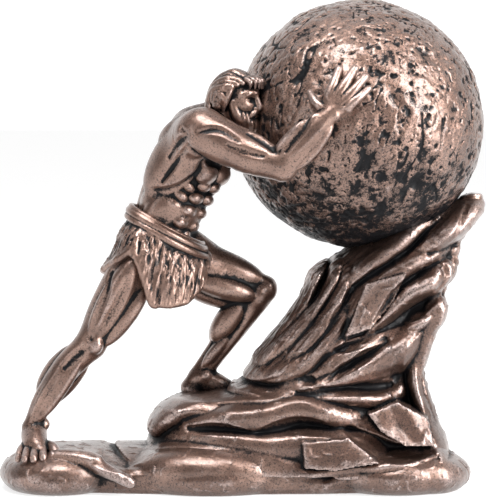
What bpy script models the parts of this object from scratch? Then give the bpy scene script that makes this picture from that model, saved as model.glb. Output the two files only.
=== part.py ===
# A desk statuette cast in one piece: a bearded man pushes a boulder up a crag.
# +X is the uphill side, the figure faces it, and -Y is the side that the viewer sees.
import math

import bmesh
import bpy
from mathutils import Vector

# Driving sizes, in metres.
STATUE_HEIGHT = 0.200
BOULDER_DIAMETER = 0.102
BASE_LENGTH = 0.190
BASE_DEPTH = 0.082
BASE_THICKNESS = 0.0145

# Pose, proportions and carving are shares of the height: one unit is a two-hundredth of it.
UNIT = STATUE_HEIGHT / 200
BOULDER_RADIUS = BOULDER_DIAMETER / 2 / UNIT
BASE_HALF_LENGTH = BASE_LENGTH / 2 / UNIT
BASE_HALF_DEPTH = BASE_DEPTH / 2 / UNIT
BASE_TOP = BASE_THICKNESS / UNIT

# Fineness of the faceted casting.
VOXEL = 0.95
KEPT_FACES = 0.0245
SMOOTHING = 0.5
SMOOTHING_PASSES = 2
RING_SIDES = 12
CURVE_STEPS = 4
CAP_ANGLES = (30, 60)
BELOW_UNDERSIDE = 3

# The bronze of the casting.
BRONZE = (0.30, 0.17, 0.115, 1)
BRONZE_ROUGHNESS = 0.42
BRONZE_METALLIC = 0.85

X, Y, Z = Vector((1, 0, 0)), Vector((0, 1, 0)), Vector((0, 0, 1))
NEAR, FAR = -1, 1


def at(x, y, z):
    return Vector((x, y, z))


def between(start, end, share):
    return start.lerp(end, share)


def table_value(rows, key):
    """Straight-line reading of rows of (key, value), the value a number or a vector."""
    for (low, first), (high, second) in zip(rows, rows[1:]):
        if key <= high or high == rows[-1][0]:
            share = min(max((key - low) / (high - low), 0), 1)
            return first + (second - first) * share


def smooth_path(points, sizes):
    """A Catmull-Rom curve through the points, with the sizes at each point carried along it."""
    rows = [(point, size) for point, size in zip(points, sizes)]
    if len(rows) == 2:
        return rows
    before = (rows[0][0] * 2 - rows[1][0], rows[0][1])
    after = (rows[-1][0] * 2 - rows[-2][0], rows[-1][1])
    rows = [before, *rows, after]
    path = []
    for i in range(1, len(rows) - 2):
        (p0, s0), (p1, s1), (p2, s2), (p3, s3) = rows[i - 1 : i + 3]
        for step in range(CURVE_STEPS):
            t = step / CURVE_STEPS
            bend = p1 * 2 + (p2 - p0) * t + (p0 * 2 - p1 * 5 + p2 * 4 - p3) * t**2
            point = (bend + (p1 * 3 - p0 - p2 * 3 + p3) * t**3) / 2
            size = tuple(a + (b - a) * t for a, b in zip(s1, s2))
            path.append((point, size))
    path.append(rows[-2])
    return path


def skin(shell, rings, start, end):
    """Joins rings of points into one closed skin with a point at each end."""
    made = [[shell.verts.new(point * UNIT) for point in ring] for ring in rings]
    first = shell.verts.new(start * UNIT)
    last = shell.verts.new(end * UNIT)
    for ring, following in zip(made, made[1:]):
        for i in range(len(ring)):
            j = (i + 1) % len(ring)
            shell.faces.new((ring[i], ring[j], following[j], following[i]))
    for i in range(len(made[0])):
        j = (i + 1) % len(made[0])
        shell.faces.new((made[0][j], made[0][i], first))
        shell.faces.new((made[-1][i], made[-1][j], last))


def limb(shell, points, radii, flat=None):
    """A round limb through the points. flat is (direction, share) and thins it that way."""
    path = smooth_path(points, [(radius,) for radius in radii])
    rings = []
    side = None
    for i, (point, (radius,)) in enumerate(path):
        ahead = path[min(i + 1, len(path) - 1)][0] - path[max(i - 1, 0)][0]
        ahead.normalize()
        side = side or ahead.orthogonal()
        side = (side - ahead * side.dot(ahead)).normalized()
        up = ahead.cross(side)
        first, last = i == 0, i == len(path) - 1
        caps = [math.radians(-a) for a in reversed(CAP_ANGLES)] if first else []
        caps += [0]
        caps += [math.radians(a) for a in CAP_ANGLES] if last else []
        for angle in caps:
            centre = point + ahead * radius * math.sin(angle)
            ring = []
            for k in range(RING_SIDES):
                turn = math.tau * k / RING_SIDES
                out = (side * math.cos(turn) + up * math.sin(turn)) * radius * math.cos(angle)
                if flat:
                    out -= flat[0] * out.dot(flat[0]) * (1 - flat[1])
                ring.append(centre + out)
            rings.append(ring)
        if first:
            start = point - ahead * radius
        if last:
            end = point + ahead * radius
    skin(shell, rings, start, end)


def mass(shell, centre, radii, axes=(X, Y, Z), fineness=3):
    """A stretched ball, its radii along the three axes."""
    found = bmesh.ops.create_icosphere(shell, subdivisions=fineness, radius=1)
    for vert in found["verts"]:
        spread = sum((axis * radius * c for axis, radius, c in zip(axes, radii, vert.co)), Vector())
        vert.co = (centre + spread) * UNIT


def muscle(shell, start, end, half_width, half_depth, facing):
    """A spindle from start to end that swells towards facing."""
    along = (end - start).normalized()
    out = (facing - along * facing.dot(along)).normalized()
    radii = ((end - start).length / 2, half_depth, half_width)
    mass(shell, between(start, end, 0.5), radii, (along, out, along.cross(out)))


def crag(shell, spine, half_widths, heights, facing):
    """A slab of rock with a sharp ridge along the spine, raised towards facing."""
    path = smooth_path(spine, list(zip(half_widths, heights)))
    rings = []
    for i, (point, (half_width, height)) in enumerate(path):
        ahead = (path[min(i + 1, len(path) - 1)][0] - path[max(i - 1, 0)][0]).normalized()
        out = (facing - ahead * facing.dot(ahead)).normalized()
        side = ahead.cross(out)
        corners = (side * half_width, out * height, side * -half_width, out * -height)
        rings.append([point + corner for corner in corners])
    lead = (path[0][0] - path[1][0]).normalized() * path[0][1][0]
    tail = (path[-1][0] - path[-2][0]).normalized() * path[-1][1][0]
    skin(shell, rings, path[0][0] + lead, path[-1][0] + tail)


def stack(shell, sections, power):
    """Level sections, each (height, left, right, half depth), as rounded blocks one on another."""
    rings = []
    for height, left, right, half_depth in sections:
        centre, half_width = (left + right) / 2, (right - left) / 2
        ring = []
        for k in range(4 * RING_SIDES):
            turn = math.tau * k / (4 * RING_SIDES)
            c, s = math.cos(turn), math.sin(turn)
            x = centre + half_width * math.copysign(abs(c) ** (2 / power), c)
            y = half_depth * math.copysign(abs(s) ** (2 / power), s)
            ring.append(at(x, y, height))
        rings.append(ring)
    low, high = sections[0], sections[-1]
    skin(
        shell,
        rings,
        at((low[1] + low[2]) / 2, 0, low[0] - 0.5),
        at((high[1] + high[2]) / 2, 0, high[0] + 0.5),
    )


# The boulder rests where its lower uphill side meets the crag, whatever its size.
BOULDER_REST = at(64.5, 1, 101)
REST_DIRECTION = at(-16.7, 0, 48).normalized()
BOULDER = BOULDER_REST + REST_DIRECTION * BOULDER_RADIUS


def on_boulder(x, z, lift, side):
    """A place on the boulder's near or far side, raised off it by lift. x and z are from its middle."""
    reach = BOULDER_RADIUS + lift
    share = BOULDER_RADIUS / 51
    depth = math.sqrt(reach**2 - (x * share) ** 2 - (z * share) ** 2)
    return BOULDER + at(x * share, side * depth, z * share)


# Joints of the figure.
HIP_NEAR = at(-38, -19, 103.9)
KNEE_NEAR = at(-62.5, -20, 60)
ANKLE_NEAR = at(-85, -17, 27.3)
HIP_FAR = at(-30, 0, 98.8)
KNEE_FAR = at(5.5, 5, 78.1)
ANKLE_FAR = at(-17, 7, 44.4)
NECK = at(-9.5, -15, 153)
SHOULDER_NEAR = at(-16, -36, 148.7)
SHOULDER_FAR = at(-6, 7, 148)
ELBOW_NEAR = at(15.5, -48, 135)
ELBOW_FAR = at(15, 43, 134)
WRIST_NEAR = on_boulder(-10.8, 7.4, 2.9, NEAR)
WRIST_FAR = on_boulder(-17, 7.4, 2.9, FAR)
HEAD = at(-2.8, -24, 160.6)

# Middle of the trunk at heights above the pelvis, and how far it turns towards the viewer there.
SPINE = (
    (-4, at(-38, -10, 97.9)),
    (4, at(-35, -10, 105.9)),
    (16, at(-29.3, -11, 117)),
    (28, at(-24, -12, 128.6)),
    (40, at(-19, -13, 139.7)),
    (52, at(-13, -14, 150.3)),
)
TURN = ((0, math.radians(44)), (50, math.radians(17)))


def trunk_axes(height):
    """Forward, left and up in the trunk at a height above the pelvis."""
    up = (table_value(SPINE, height + 6) - table_value(SPINE, height - 6)).normalized()
    turn = table_value(TURN, height)
    ahead = at(math.cos(turn), -math.sin(turn), 0)
    front = (ahead - up * ahead.dot(up)).normalized()
    return front, up.cross(front), up


def trunk(forward, left, height):
    front, side, _ = trunk_axes(height)
    return table_value(SPINE, height) + front * forward + side * left


def torso(shell):
    for forward, height, radii in (
        (-0.5, 1, (12.5, 16.5, 13)),
        (1, 16, (11.8, 14.5, 15)),
        (-1, 35, (13, 18, 18)),
        (-2.5, 46, (11, 17, 10)),
    ):
        mass(shell, trunk(forward, 0, height), radii, trunk_axes(height))
    for side in (NEAR, FAR):
        trunk_muscles(shell, side)
    limb(shell, [trunk(-4, 0, 46), NECK, HEAD + at(-2, 1, -6)], [9.5, 8, 6.5])
    muscle(shell, NECK + at(-4, -2, -1), SHOULDER_NEAR + at(-2, 4, 2), 6.5, 6, Z)
    muscle(shell, NECK + at(-4, 2, -1), SHOULDER_FAR + at(-2, -4, 2), 6.5, 6, Z)


def trunk_muscles(shell, side):
    front = {height: trunk_axes(height)[0] for height in (14, 28, 30, 36, 40, 42)}
    outer = {height: trunk_axes(height)[1] * side for height in (14, 30, 36)}
    # Chest.
    muscle(shell, trunk(10.5, side * 2, 37), trunk(7, side * 17, 45), 6.5, 5, front[40])
    mass(shell, trunk(11.5, side * 6, 34), (3.8, 6.8, 5), trunk_axes(33))
    # Broad muscle of the back, the long ones beside the spine, and the shoulder blade.
    broad = outer[30] - front[30] * 0.2
    muscle(shell, trunk(-3, side * 12.5, 16), trunk(-2, side * 17.5, 46), 7.5, 4.9, broad)
    muscle(shell, trunk(-9.5, side * 4, 4), trunk(-11.5, side * 4, 44), 3.4, 3.4, -front[28])
    muscle(shell, trunk(-11, side * 7, 35), trunk(-8, side * 14.5, 47), 5, 3.8, -front[42])
    below_blade = outer[36] - front[36]
    muscle(shell, trunk(-9, side * 10, 30), trunk(-3, side * 16, 41), 3.4, 3.4, below_blade)
    # Flank, ribs and belly.
    muscle(shell, trunk(1, side * 11.5, 6), trunk(2.5, side * 14.5, 22), 5.4, 4, outer[14])
    muscle(shell, trunk(11, side * 4, 30.5), trunk(7.5, side * 13, 24.5), 2, 2.4, front[28])
    for i in range(4):
        height = 34 - 4.6 * i
        start = trunk(8 - 0.5 * i, side * (12.8 - 0.8 * i), height - 3)
        end = trunk(2, side * (17.2 - i), height + 1.5)
        muscle(shell, start, end, 1.8, 2.6, outer[30] + front[30] * 0.7)
    for i, height in enumerate((26.5, 20.2, 14.2)):
        axes = trunk_axes(height)
        mass(shell, trunk(12.6 - 0.35 * i, side * 3.4, height), (2.8, 3.2, 3), axes)
    mass(shell, trunk(10.6, side * 2.8, 6), (3.2, 3.4, 5.2), trunk_axes(6))


def near_leg(shell):
    front = at(0.35, -0.93, 0)
    outer = at(-0.85, -0.25, 0.45)
    thigh = [between(HIP_NEAR, KNEE_NEAR, share) for share in (0, 0.35, 0.7, 1)]
    limb(shell, thigh, [10.5, 9.5, 8.2, 6.4])
    muscle(shell, at(-43, -27, 96.5), at(-62, -24, 61.3), 6.2, 5.4, front)
    muscle(shell, at(-46, -21, 97.5), at(-68, -18, 62.3), 5.5, 8, outer)
    muscle(shell, at(-39, -22, 86.5), at(-58, -22, 59.4), 4.6, 6, at(0.7, -0.7, -0.2))
    muscle(shell, at(-48, -14, 92.5), at(-68, -15, 56.4), 6.5, 6.5, at(-0.6, 0.8, 0))
    mass(shell, at(-60.5, -25.5, 60.5), (3.4, 3, 4))
    shin = [between(KNEE_NEAR, ANKLE_NEAR, share) for share in (0, 0.3, 0.7, 1)]
    limb(shell, shin, [6.2, 6, 4.8, 3.9])
    muscle(shell, at(-64, -16, 58.4), at(-81, -14, 37.3), 5.2, 6.4, at(-0.8, 0.4, 0.4))
    muscle(shell, at(-62, -14, 56.4), at(-77, -13, 34.3), 5.5, 6.7, at(0.6, 0.75, -0.3))
    muscle(shell, at(-67, -22, 57.4), at(-86, -19.5, 29.3), 2.6, 3.6, at(-0.7, -0.7, 0.1))
    muscle(shell, at(-63, -23.5, 57.4), at(-84, -20, 28.3), 3.8, 4, at(0.2, -0.95, -0.2))
    near_foot(shell)


def near_foot(shell):
    limb(shell, [at(-85.5, -11, 19), at(-86, -17, 22), at(-85.5, -25, 18.5)], [4.6, 5.4, 4.8])
    limb(shell, [at(-86, -16, 24), at(-84.5, -24, 20.5), at(-83, -29.5, 17.5)], [4.2, 4.2, 3.2])
    mass(shell, at(-88.5, -17.5, 25.5), (2.3, 2.3, 2.3))
    mass(shell, at(-81.8, -16.5, 26.5), (2.3, 2.3, 2.3))
    toes = (
        (at(-76.5, -30.5, 16.6), 2.4),
        (at(-81.3, -34, 15.9), 1.75),
        (at(-85, -34.8, 15.4), 1.65),
        (at(-88.6, -34, 15.2), 1.55),
        (at(-91.6, -32, 15.2), 1.45),
    )
    for i, (tip, radius) in enumerate(toes):
        root = at(-79.5 - 2.6 * i, -24 + 0.4 * i, 18.6)
        knuckle = between(root, tip, 0.6) + Z
        points = [root, knuckle, tip, tip + at(0, -1, -1)]
        limb(shell, points, [radius, radius, radius, radius * 0.85])


def far_leg(shell):
    up = at(0.35, -0.1, 0.93)
    thigh = [HIP_FAR + Z, at(-12, 3, 87.2), KNEE_FAR + at(-2.5, 0, 0.5)]
    limb(shell, thigh, [12.5, 10.6, 7])
    muscle(shell, at(-30, -1, 100.3), at(8.5, 4.5, 82.6), 7.5, 7.4, up)
    muscle(shell, at(-24, -5, 86.8), at(5.5, -0.5, 77.6), 5.2, 6, -Y)
    muscle(shell, at(-26, 0, 83.8), at(1, 5, 74.6), 6.5, 6, -Z)
    mass(shell, at(9.1, 5, 79.9), (4.4, 5.4, 5.4))
    mass(shell, at(6.5, 1, 78.1), (4.2, 3.2, 4.7))
    shin = [at(5.5, 5, 76.6), at(-2, 5.6, 65.5), at(-10, 6.4, 54.5), ANKLE_FAR]
    limb(shell, shin, [6.2, 5.2, 4.4, 3.8])
    muscle(shell, at(0, 1.5, 76.6), at(-12.5, 3, 58.5), 5.2, 4.6, -Y)
    muscle(shell, at(1, 5, 76.6), at(-13, 6, 57.5), 5.6, 5.8, at(-0.8, 0, 0.5))
    muscle(shell, at(-5, 1.8, 62.5), at(-17, 4, 47.4), 2.6, 2.6, -Y)
    muscle(shell, at(7, 2, 75.6), at(-14, 5, 46.4), 2.8, 3, at(0.5, -0.8, -0.3))
    limb(shell, [at(-12, 6.6, 56.4), at(-19, 7, 46.4), at(-22.5, 7, 38.9)], [2.6, 2.1, 3.4])
    mass(shell, at(-21.5, 7, 38.1), (4.3, 4.7, 4.2))
    mass(shell, at(-15.5, 3.3, 43.9), (2.4, 2.4, 2.4))
    foot = [at(-18, 7, 42.3), at(-12, 6.5, 40.2), at(-5, 6.2, 37.2), at(1, 5.6, 35.8)]
    limb(shell, foot, [4.8, 5, 3.8, 2.6])
    for i in range(5):
        tip = at(4.6 - 1.1 * i, 1.8 + 2.5 * i, 35.2)
        radius = 1.5 if i else 2.05
        root = at(-6, 3.5 + 1.8 * i, 36.7)
        limb(shell, [root, tip + at(-2.5, 0, 1.3), tip], [radius * 1.1, radius, radius * 0.95])


def arm(shell, shoulder, elbow, wrist, side):
    outward = at(-0.2, side * 0.97, 0.1)
    up = at(-0.35, 0, 0.93)
    mass(shell, shoulder + at(-1.5, side * 0.2, 0), (9.6, 8, 9))
    deltoid_end = between(shoulder, elbow, 0.5) + at(-2, side * 2.5, 0)
    muscle(shell, shoulder + at(-6, side * 3, 3), deltoid_end, 6.6, 5.4, outward)
    upper = [shoulder, between(shoulder, elbow, 0.5) + at(0, 0, -0.6), elbow]
    limb(shell, upper, [8.8, 7.8, 5.6])
    biceps = between(shoulder, elbow, 0.22) + at(1, side * -0.5, 3.4)
    muscle(shell, biceps, between(shoulder, elbow, 0.9) + at(0, 0, 2.6), 5, 4.8, up)
    triceps = between(shoulder, elbow, 0.1) + at(-1, side, -4)
    muscle(shell, triceps, between(shoulder, elbow, 0.93) + at(0, 0, -2.4), 5.2, 5, -up)
    mass(shell, elbow + at(1.5, side * 0.5, -1.5), (4, 3.8, 4))
    forearm = [between(elbow, wrist, share) for share in (0, 0.4, 0.8, 1)]
    limb(shell, forearm, [5.6, 5.4, 4, 3.4])
    for start, end, share, half_width, facing in (
        (at(-1.5, side, 2.5), at(-1, side * 0.6, 1.4), 0.78, 3.8, at(-0.6, side * 0.8, 0.3)),
        (at(2, side * 1.5, -1), at(1.4, side * 0.6, -0.6), 0.85, 3.2, at(0.6, side * 0.7, -0.4)),
    ):
        finish = between(elbow, wrist, share) + end
        muscle(shell, elbow + start, finish, half_width, 3.8, facing)
    mass(shell, wrist + at(2, side, -1.4), (2, 2, 2))


# Hand on the boulder: places from the boulder's middle, across and up.
WRIST_END = (-10.3, 11.5)
PALM = (-8.3, 15.5)
PALM_MIDDLE = (-8, 13)
FINGERS = (
    ((-11.8, 17.5), (-8.5, 24.6), 1.5),
    ((-8, 17.6), (-2.6, 24), 1.55),
    ((-5, 15.6), (1.2, 21.2), 1.5),
    ((-3.2, 12.6), (3, 16.6), 1.35),
)
THUMB = ((-13.2, 9.6, 2.2), (-17.3, 12.5, 2), (-20.8, 17.5, 0.9))
FAR_HAND_BACK = -6


def hand(shell, wrist, side):
    back = FAR_HAND_BACK if side == FAR else 0

    def spot(x, z, lift):
        return on_boulder(x + back, z, lift, side)

    out = (spot(*PALM, 0) - BOULDER).normalized()
    palm = [wrist, spot(*WRIST_END, 2.6), spot(*PALM, 2.2)]
    limb(shell, palm, [3.3, 4.3, 4.1], flat=(out, 0.68))
    mass(shell, spot(*PALM_MIDDLE, 1.8), (5.2, 5.2, 2.6), (X, out.cross(X).normalized(), out))
    for knuckle, tip, radius in FINGERS:
        root = spot(knuckle[0] - 0.6, knuckle[1] - 1.5, 2.4)
        middle = [(a + b) / 2 for a, b in zip(knuckle, tip)]
        points = [root, spot(*knuckle, 2.6), spot(*middle, 2.1), spot(*tip, 1)]
        limb(shell, points, [radius, radius * 1.15, radius * 1.05, radius * 0.9])
    limb(shell, [spot(*place) for place in THUMB], [2.4, 2, 1.5])


# The head looks uphill, turned a little to the viewer and bent down.
GAZE = at(math.cos(math.radians(28)), -math.sin(math.radians(28)), -0.12).normalized()
CROWN = (Z - GAZE * GAZE.z).normalized()
LEFT_EAR = CROWN.cross(GAZE)
HEAD_AXES = (GAZE, LEFT_EAR, CROWN)
LOCK_ROWS = ((9, 1.0, 0), (8, 0.82, 0.5))
BEARD_LOCKS = 9


def skull(forward, left, up):
    return HEAD + GAZE * forward + LEFT_EAR * left + CROWN * up


def head(shell):
    mass(shell, skull(-1.5, 0, 3), (9.6, 7.6, 8.6), HEAD_AXES)
    mass(shell, skull(3.2, 0, -3), (6.6, 5.8, 8.2), HEAD_AXES)
    for side in (NEAR, FAR):
        brow = [skull(8.4, side * 4.4, 2.4), skull(9.3, side * 2.2, 3.3), skull(9.5, 0, 3.1)]
        limb(shell, brow, [0.9, 1.1, 1.0])
        mass(shell, skull(7.4, side * 4.1, -1.8), (2.2, 1.9, 1.8), HEAD_AXES)
        whisker = [skull(2, side * 6.6, -1), skull(4.6, side * 5.6, -6.5), skull(7.4, side * 2.6, -10)]
        limb(shell, whisker, [1.8, 2.4, 2.4])
        moustache = [skull(10, side * 0.5, -4), skull(9.9, side * 2.2, -4.7), skull(8.2, side * 4.2, -6.6)]
        limb(shell, moustache, [0.9, 1.2, 0.8])
    limb(shell, [skull(9.2, 0, 3), skull(10.4, 0, 0.6), skull(11.6, 0, -1.9)], [0.9, 1.05, 1.3])
    beard(shell)
    hair(shell)


def beard(shell):
    for i in range(BEARD_LOCKS):
        across = 2 * i / (BEARD_LOCKS - 1) - 1
        root = skull(9.2 - 5.6 * across**2, 5.2 * across, -6.3 + 2.4 * across**2)
        tip = skull(8.6 - 2.2 * across**2, 2.9 * across, -13 + 2.8 * across**2)
        bend = between(root, tip, 0.5) + GAZE * 1.5 + LEFT_EAR * (1.2 * across)
        limb(shell, [root, bend, tip], [1.4, 1.6, 0.8])


def hair(shell):
    for count, inset, shift in LOCK_ROWS:
        for i in range(count):
            across = min(2 * (i + shift) / (count - 1) - 1, 1)
            sine, cosine = math.sin(1.45 * across), math.cos(1.45 * across)
            back = 4 * shift
            root = skull(7.4 - 2.6 * abs(sine) - back, 6.2 * sine * inset, 4.2 + 5.4 * cosine)
            top = skull(1.5 - back, 8.6 * sine, 5.2 + 7.2 * cosine * inset)
            nape = skull(-7.5, 9 * sine, 3 + 5.2 * cosine)
            end = skull(-10.5 + shift, 7.4 * sine, -4.8 + 2 * cosine - 1.5 * (i % 2))
            limb(shell, [root, top, nape, end], [1.3, 2, 2.2, 1.1])


# Loincloth: a rolled waist that dips to the front, and cloth that falls to a hem in degrees round it.
WAIST = at(-31.2, -10, 106.9)
WAIST_TURN = math.radians(42)
WAIST_FRONT = at(math.cos(WAIST_TURN), -math.sin(WAIST_TURN), 0)
WAIST_LEFT = at(math.sin(WAIST_TURN), math.cos(WAIST_TURN), 0)
WAIST_DEPTH = 12.6
WAIST_WIDTH = 14.6
WAIST_DIP = 0.43
HEM = (
    (-180, at(-52, -1, 87.9)),
    (-150, at(-56.5, -7, 88.9)),
    (-128, at(-57, -16, 90.3)),
    (-98, at(-51, -26, 95.3)),
    (-74, at(-44.5, -29.5, 99.6)),
    (-62, at(-40.5, -30, 89.8)),
    (-52, at(-37.5, -28.5, 77.8)),
    (-25, at(-30, -26, 76.8)),
    (5, at(-23.5, -22, 77.8)),
    (28, at(-17.5, -15.5, 83.3)),
    (48, at(-15, -9, 93.3)),
    (90, at(-14, 10, 92.8)),
    (130, at(-34, 13, 88.8)),
    (155, at(-45, 9, 87.8)),
    (180, at(-52, -1, 87.9)),
)
FOLDS = 36
WAIST_STEPS = 36
WAIST_STRANDS = 3
STRAND_TWISTS = 2


def waist(degrees, outward):
    turn = math.radians(degrees)
    ahead = WAIST_FRONT * ((WAIST_DEPTH + outward) * math.cos(turn))
    place = WAIST + ahead + WAIST_LEFT * ((WAIST_WIDTH + outward) * math.sin(turn))
    return place - Z * (WAIST_DIP * (place.x - WAIST.x))


def loincloth(shell):
    mass(shell, at(-40, -9, 99.8), (14.5, 17.5, 12.5), (at(0.91, 0, 0.41), Y, at(-0.41, 0, 0.91)))
    mass(shell, at(-45.5, -18, 98.8), (9, 9.5, 11))
    mass(shell, at(-44, 3, 96.8), (10, 9, 11))
    for i in range(FOLDS):
        degrees = 360 * i / FOLDS - 180
        top = waist(degrees, -0.6)
        low = table_value(HEM, degrees)
        out = (top - WAIST) * at(1, 1, 0)
        out.normalize()
        high = between(top, low, 0.33) + out * (1.7 + 0.5 * (i % 2))
        middle = between(top, low, 0.7) + out * (1.1 + 0.8 * (i % 3 == 0))
        thick = 1.8 + 0.5 * (i % 3 == 1)
        limb(shell, [top, high, middle, low], [1.5, thick + 0.5, thick + 0.4, thick])
    hem = [table_value(HEM, degrees) for degrees in range(-180, 181, 10)]
    limb(shell, hem, [1.5] * len(hem))
    around = [360 * step / WAIST_STEPS - 180 for step in range(WAIST_STEPS + 1)]
    limb(shell, [waist(degrees, 0.6) for degrees in around], [2.3] * len(around))
    for strand in range(WAIST_STRANDS):
        points = []
        for degrees in around:
            twist = math.tau * strand / WAIST_STRANDS + math.radians(degrees) * STRAND_TWISTS
            out = (waist(degrees, 0) - WAIST).normalized()
            points.append(waist(degrees, 1) + out * (0.9 * math.cos(twist)) + Z * (1.3 * math.sin(twist)))
        limb(shell, points, [1.6] * len(points))


# The crag under the boulder, as level sections of height, left, right and half depth.
CRAG_SECTIONS = (
    (8, -45, 86, 39),
    (16, -42, 83, 36),
    (22, -40, 80, 33),
    (28, -36, 77.5, 31),
    (33, -30, 76, 29.5),
    (36.5, -22, 75.2, 28),
    (39, -2, 75, 27.5),
    (44, 1.5, 74.7, 27),
    (54, 5, 74.8, 25),
    (62, 11.5, 76.5, 24),
    (70, 18.5, 80.2, 23),
    (78, 23.5, 83.7, 22),
    (88, 27.5, 84.7, 21),
    (94, 35, 86.5, 20.5),
    (99, 42, 90, 20),
    (104, 51, 94.5, 18),
    (109, 62, 98, 15),
    (113, 72, 99.5, 12),
    (116.5, 84, 99.5, 8),
    (118.5, 90, 98, 4),
)
CRAG_POWER = 2.6
BASE_POWER = 2.8
BASE_SHIFT = 4.5
BASE_EDGE = ((-BELOW_UNDERSIDE, 3.5), (0, 2.4), (0.22, 0.4), (0.45, 0), (0.72, 0.6), (0.9, 2.5), (1, 6))


def crag_section(z):
    """Left, right and half depth of the crag at height z."""
    return table_value([(section[0], Vector(section[1:])) for section in CRAG_SECTIONS], z)


def rounded_depth(across, half_depth, power):
    """Depth of a rounded block's side at a share of its half width from its middle."""
    return half_depth * max(1 - abs(across) ** power, 0) ** (1 / power)


def crag_side(x, z, lift):
    """A place on the crag's near side, raised off it by lift."""
    left, right, half_depth = crag_section(z)
    across = (x - (left + right) / 2) / ((right - left) / 2)
    return at(x, -rounded_depth(min(across, 0.95), half_depth, CRAG_POWER) - lift, z)


# Ridges on the near face: places as across, up and lift off the face, then half widths and heights.
RIDGES = (
    (((95, 114.5, -3), (84, 105.5, 0), (72.5, 92.5, 0)), (5, 6, 1.5), (5, 5.5, 2)),
    (((88, 112, 0), (75, 103.5, 1.5), (61, 95.5, 1.5), (48, 87.5, 0)), (2, 4, 4, 1), (3, 4.5, 4, 2)),
    (((64, 95, 0), (52.5, 87.5, 1.5), (45.5, 77.5, 0), (39.5, 65.5, -1)), (2, 5, 5, 1.5), (3, 4, 4, 2)),
    (((70, 90, -0.5), (61, 82.5, 1.5), (53.5, 70.5, 1.5), (42.5, 62.5, 0)), (2, 7, 7, 1.5), (3, 4.5, 4.5, 2)),
    (((80, 85, -2), (74, 81.5, 2), (63, 72.5, 1.5), (54, 65.5, 0)), (3, 8.5, 6, 1), (4, 6, 4.5, 2)),
    (((77.5, 73, -2), (66, 65.5, 0.5), (50, 60, 0.5), (35.5, 56.5, 0)), (3, 6, 5, 1.5), (4, 5, 4, 2)),
    (((71, 61.5, -0.5), (54, 56.5, 1.5), (38.5, 48.5, 1.5), (23, 40.5, 0)), (2, 6.5, 5.5, 1), (3, 5.5, 5, 2)),
    (((68.5, 56.5, -0.5), (59.5, 49.5, 2), (43.5, 43, 1.5), (24.5, 40.5, 0)), (2, 7, 5, 1), (3, 5.5, 5, 2)),
    (((68.5, 59.5, -1), (69, 47, 0), (72, 36, 0), (76.5, 24, 0)), (2, 4.5, 5, 4), (3, 4, 4, 4)),
    (((32, 90.5, -1), (25.5, 77, 0), (17.5, 62.5, 0), (5.5, 47.5, -1)), (2, 6, 6, 2), (3, 4, 4, 2)),
    (((40, 94, -1), (35, 82, 0), (26, 64.5, 0), (13.5, 51, 0)), (2, 6.5, 6.5, 2), (3, 4, 4, 2)),
    (((48, 95, -1), (43.5, 79, 0), (36, 62.5, 0), (23, 49, 0)), (2, 5.5, 6, 2), (3, 3.5, 3.5, 2)),
    (((-15.5, 41.5, -2), (5, 43.5, 0), (21.5, 44.5, 1), (35.5, 49, 0)), (1.5, 5, 5, 1.5), (2, 4, 4, 2)),
    (((-39, 26.5, 0), (-18.5, 31, 1.5), (0.5, 38, 0.5), (17, 40, 0)), (2, 6, 7, 2), (3, 4.5, 4.5, 2)),
    (((-34, 27, 0), (-29, 34, -1), (-21, 38, -2)), (3, 6.5, 2), (3, 4.5, 2)),
    (((2, 30.5, 1), (17, 35, 1.5), (33.5, 33.5, 1.5), (44.5, 26.5, 0)), (2, 6, 6, 1.5), (3, 5, 5, 2)),
    (((54, 33, 0), (62, 35.5, 2), (68, 26.5, 1)), (3, 8, 3), (3, 5, 3)),
    (((52.5, 26, -1), (64, 20, 1), (78.5, 19.5, -2)), (2, 4, 1.5), (3, 4, 2)),
    (((22, 19, 0), (41.5, 22.5, 1), (56.5, 15, 0)), (2, 6.5, 2), (2, 4.5, 2)),
    (((-37.5, 20.5, 0), (-15.5, 21.5, 0), (7.5, 18, 0), (25, 9.5, 0)), (2, 7, 7.5, 2), (2, 5, 6, 2)),
)
RIDGE_FACING = at(0, -1, 0.3)
FAR_SIDE_SHIFT = at(3, -2, -5)
FAR_SIDE_WIDER = 1.3
FAR_SIDE_LOWER = 0.7
LOWEST_FAR_RIDGE = 41
# Ridges that run down the uphill side, by depth: top height and foot height.
UPHILL_RIDGES = ((-14, 92, 50), (-5, 104, 62), (6, 98, 44), (14, 86, 52), (-10, 60, 24), (3, 50, 20), (13, 56, 24))


def crag_body(shell):
    stack(shell, CRAG_SECTIONS, CRAG_POWER)
    for spine, half_widths, heights in RIDGES:
        near = [crag_side(*place) for place in spine]
        crag(shell, near, half_widths, heights, RIDGE_FACING)
        if spine[0][1] > LOWEST_FAR_RIDGE:
            far = [at(p.x, -p.y, p.z) + FAR_SIDE_SHIFT for p in near]
            wider = [half_width * FAR_SIDE_WIDER for half_width in half_widths]
            lower = [height * FAR_SIDE_LOWER for height in heights]
            crag(shell, far, wider, lower, RIDGE_FACING * at(1, -1, 1))
    for depth, top, foot in UPHILL_RIDGES:
        levels = (top, (top + foot) / 2, foot)
        spine = [at(crag_section(z)[1] - 1, depth, z) for z in levels]
        crag(shell, spine, (2, 5, 2), (2, 3.5, 2), X)


# Swellings of the base's rim: place along it and radii.
SWELLINGS = (
    (at(-0.78, -0.24, 0.45), at(25, 30, 11)),
    (at(-0.12, -0.44, 0.45), at(46, 24, 11.5)),
    (at(0.66, -0.24, 0.45), at(28, 31, 11)),
    (at(-0.4, 0.4, 0.4), at(38, 25, 10)),
    (at(0.4, 0.44, 0.45), at(42, 24, 11)),
)


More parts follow.
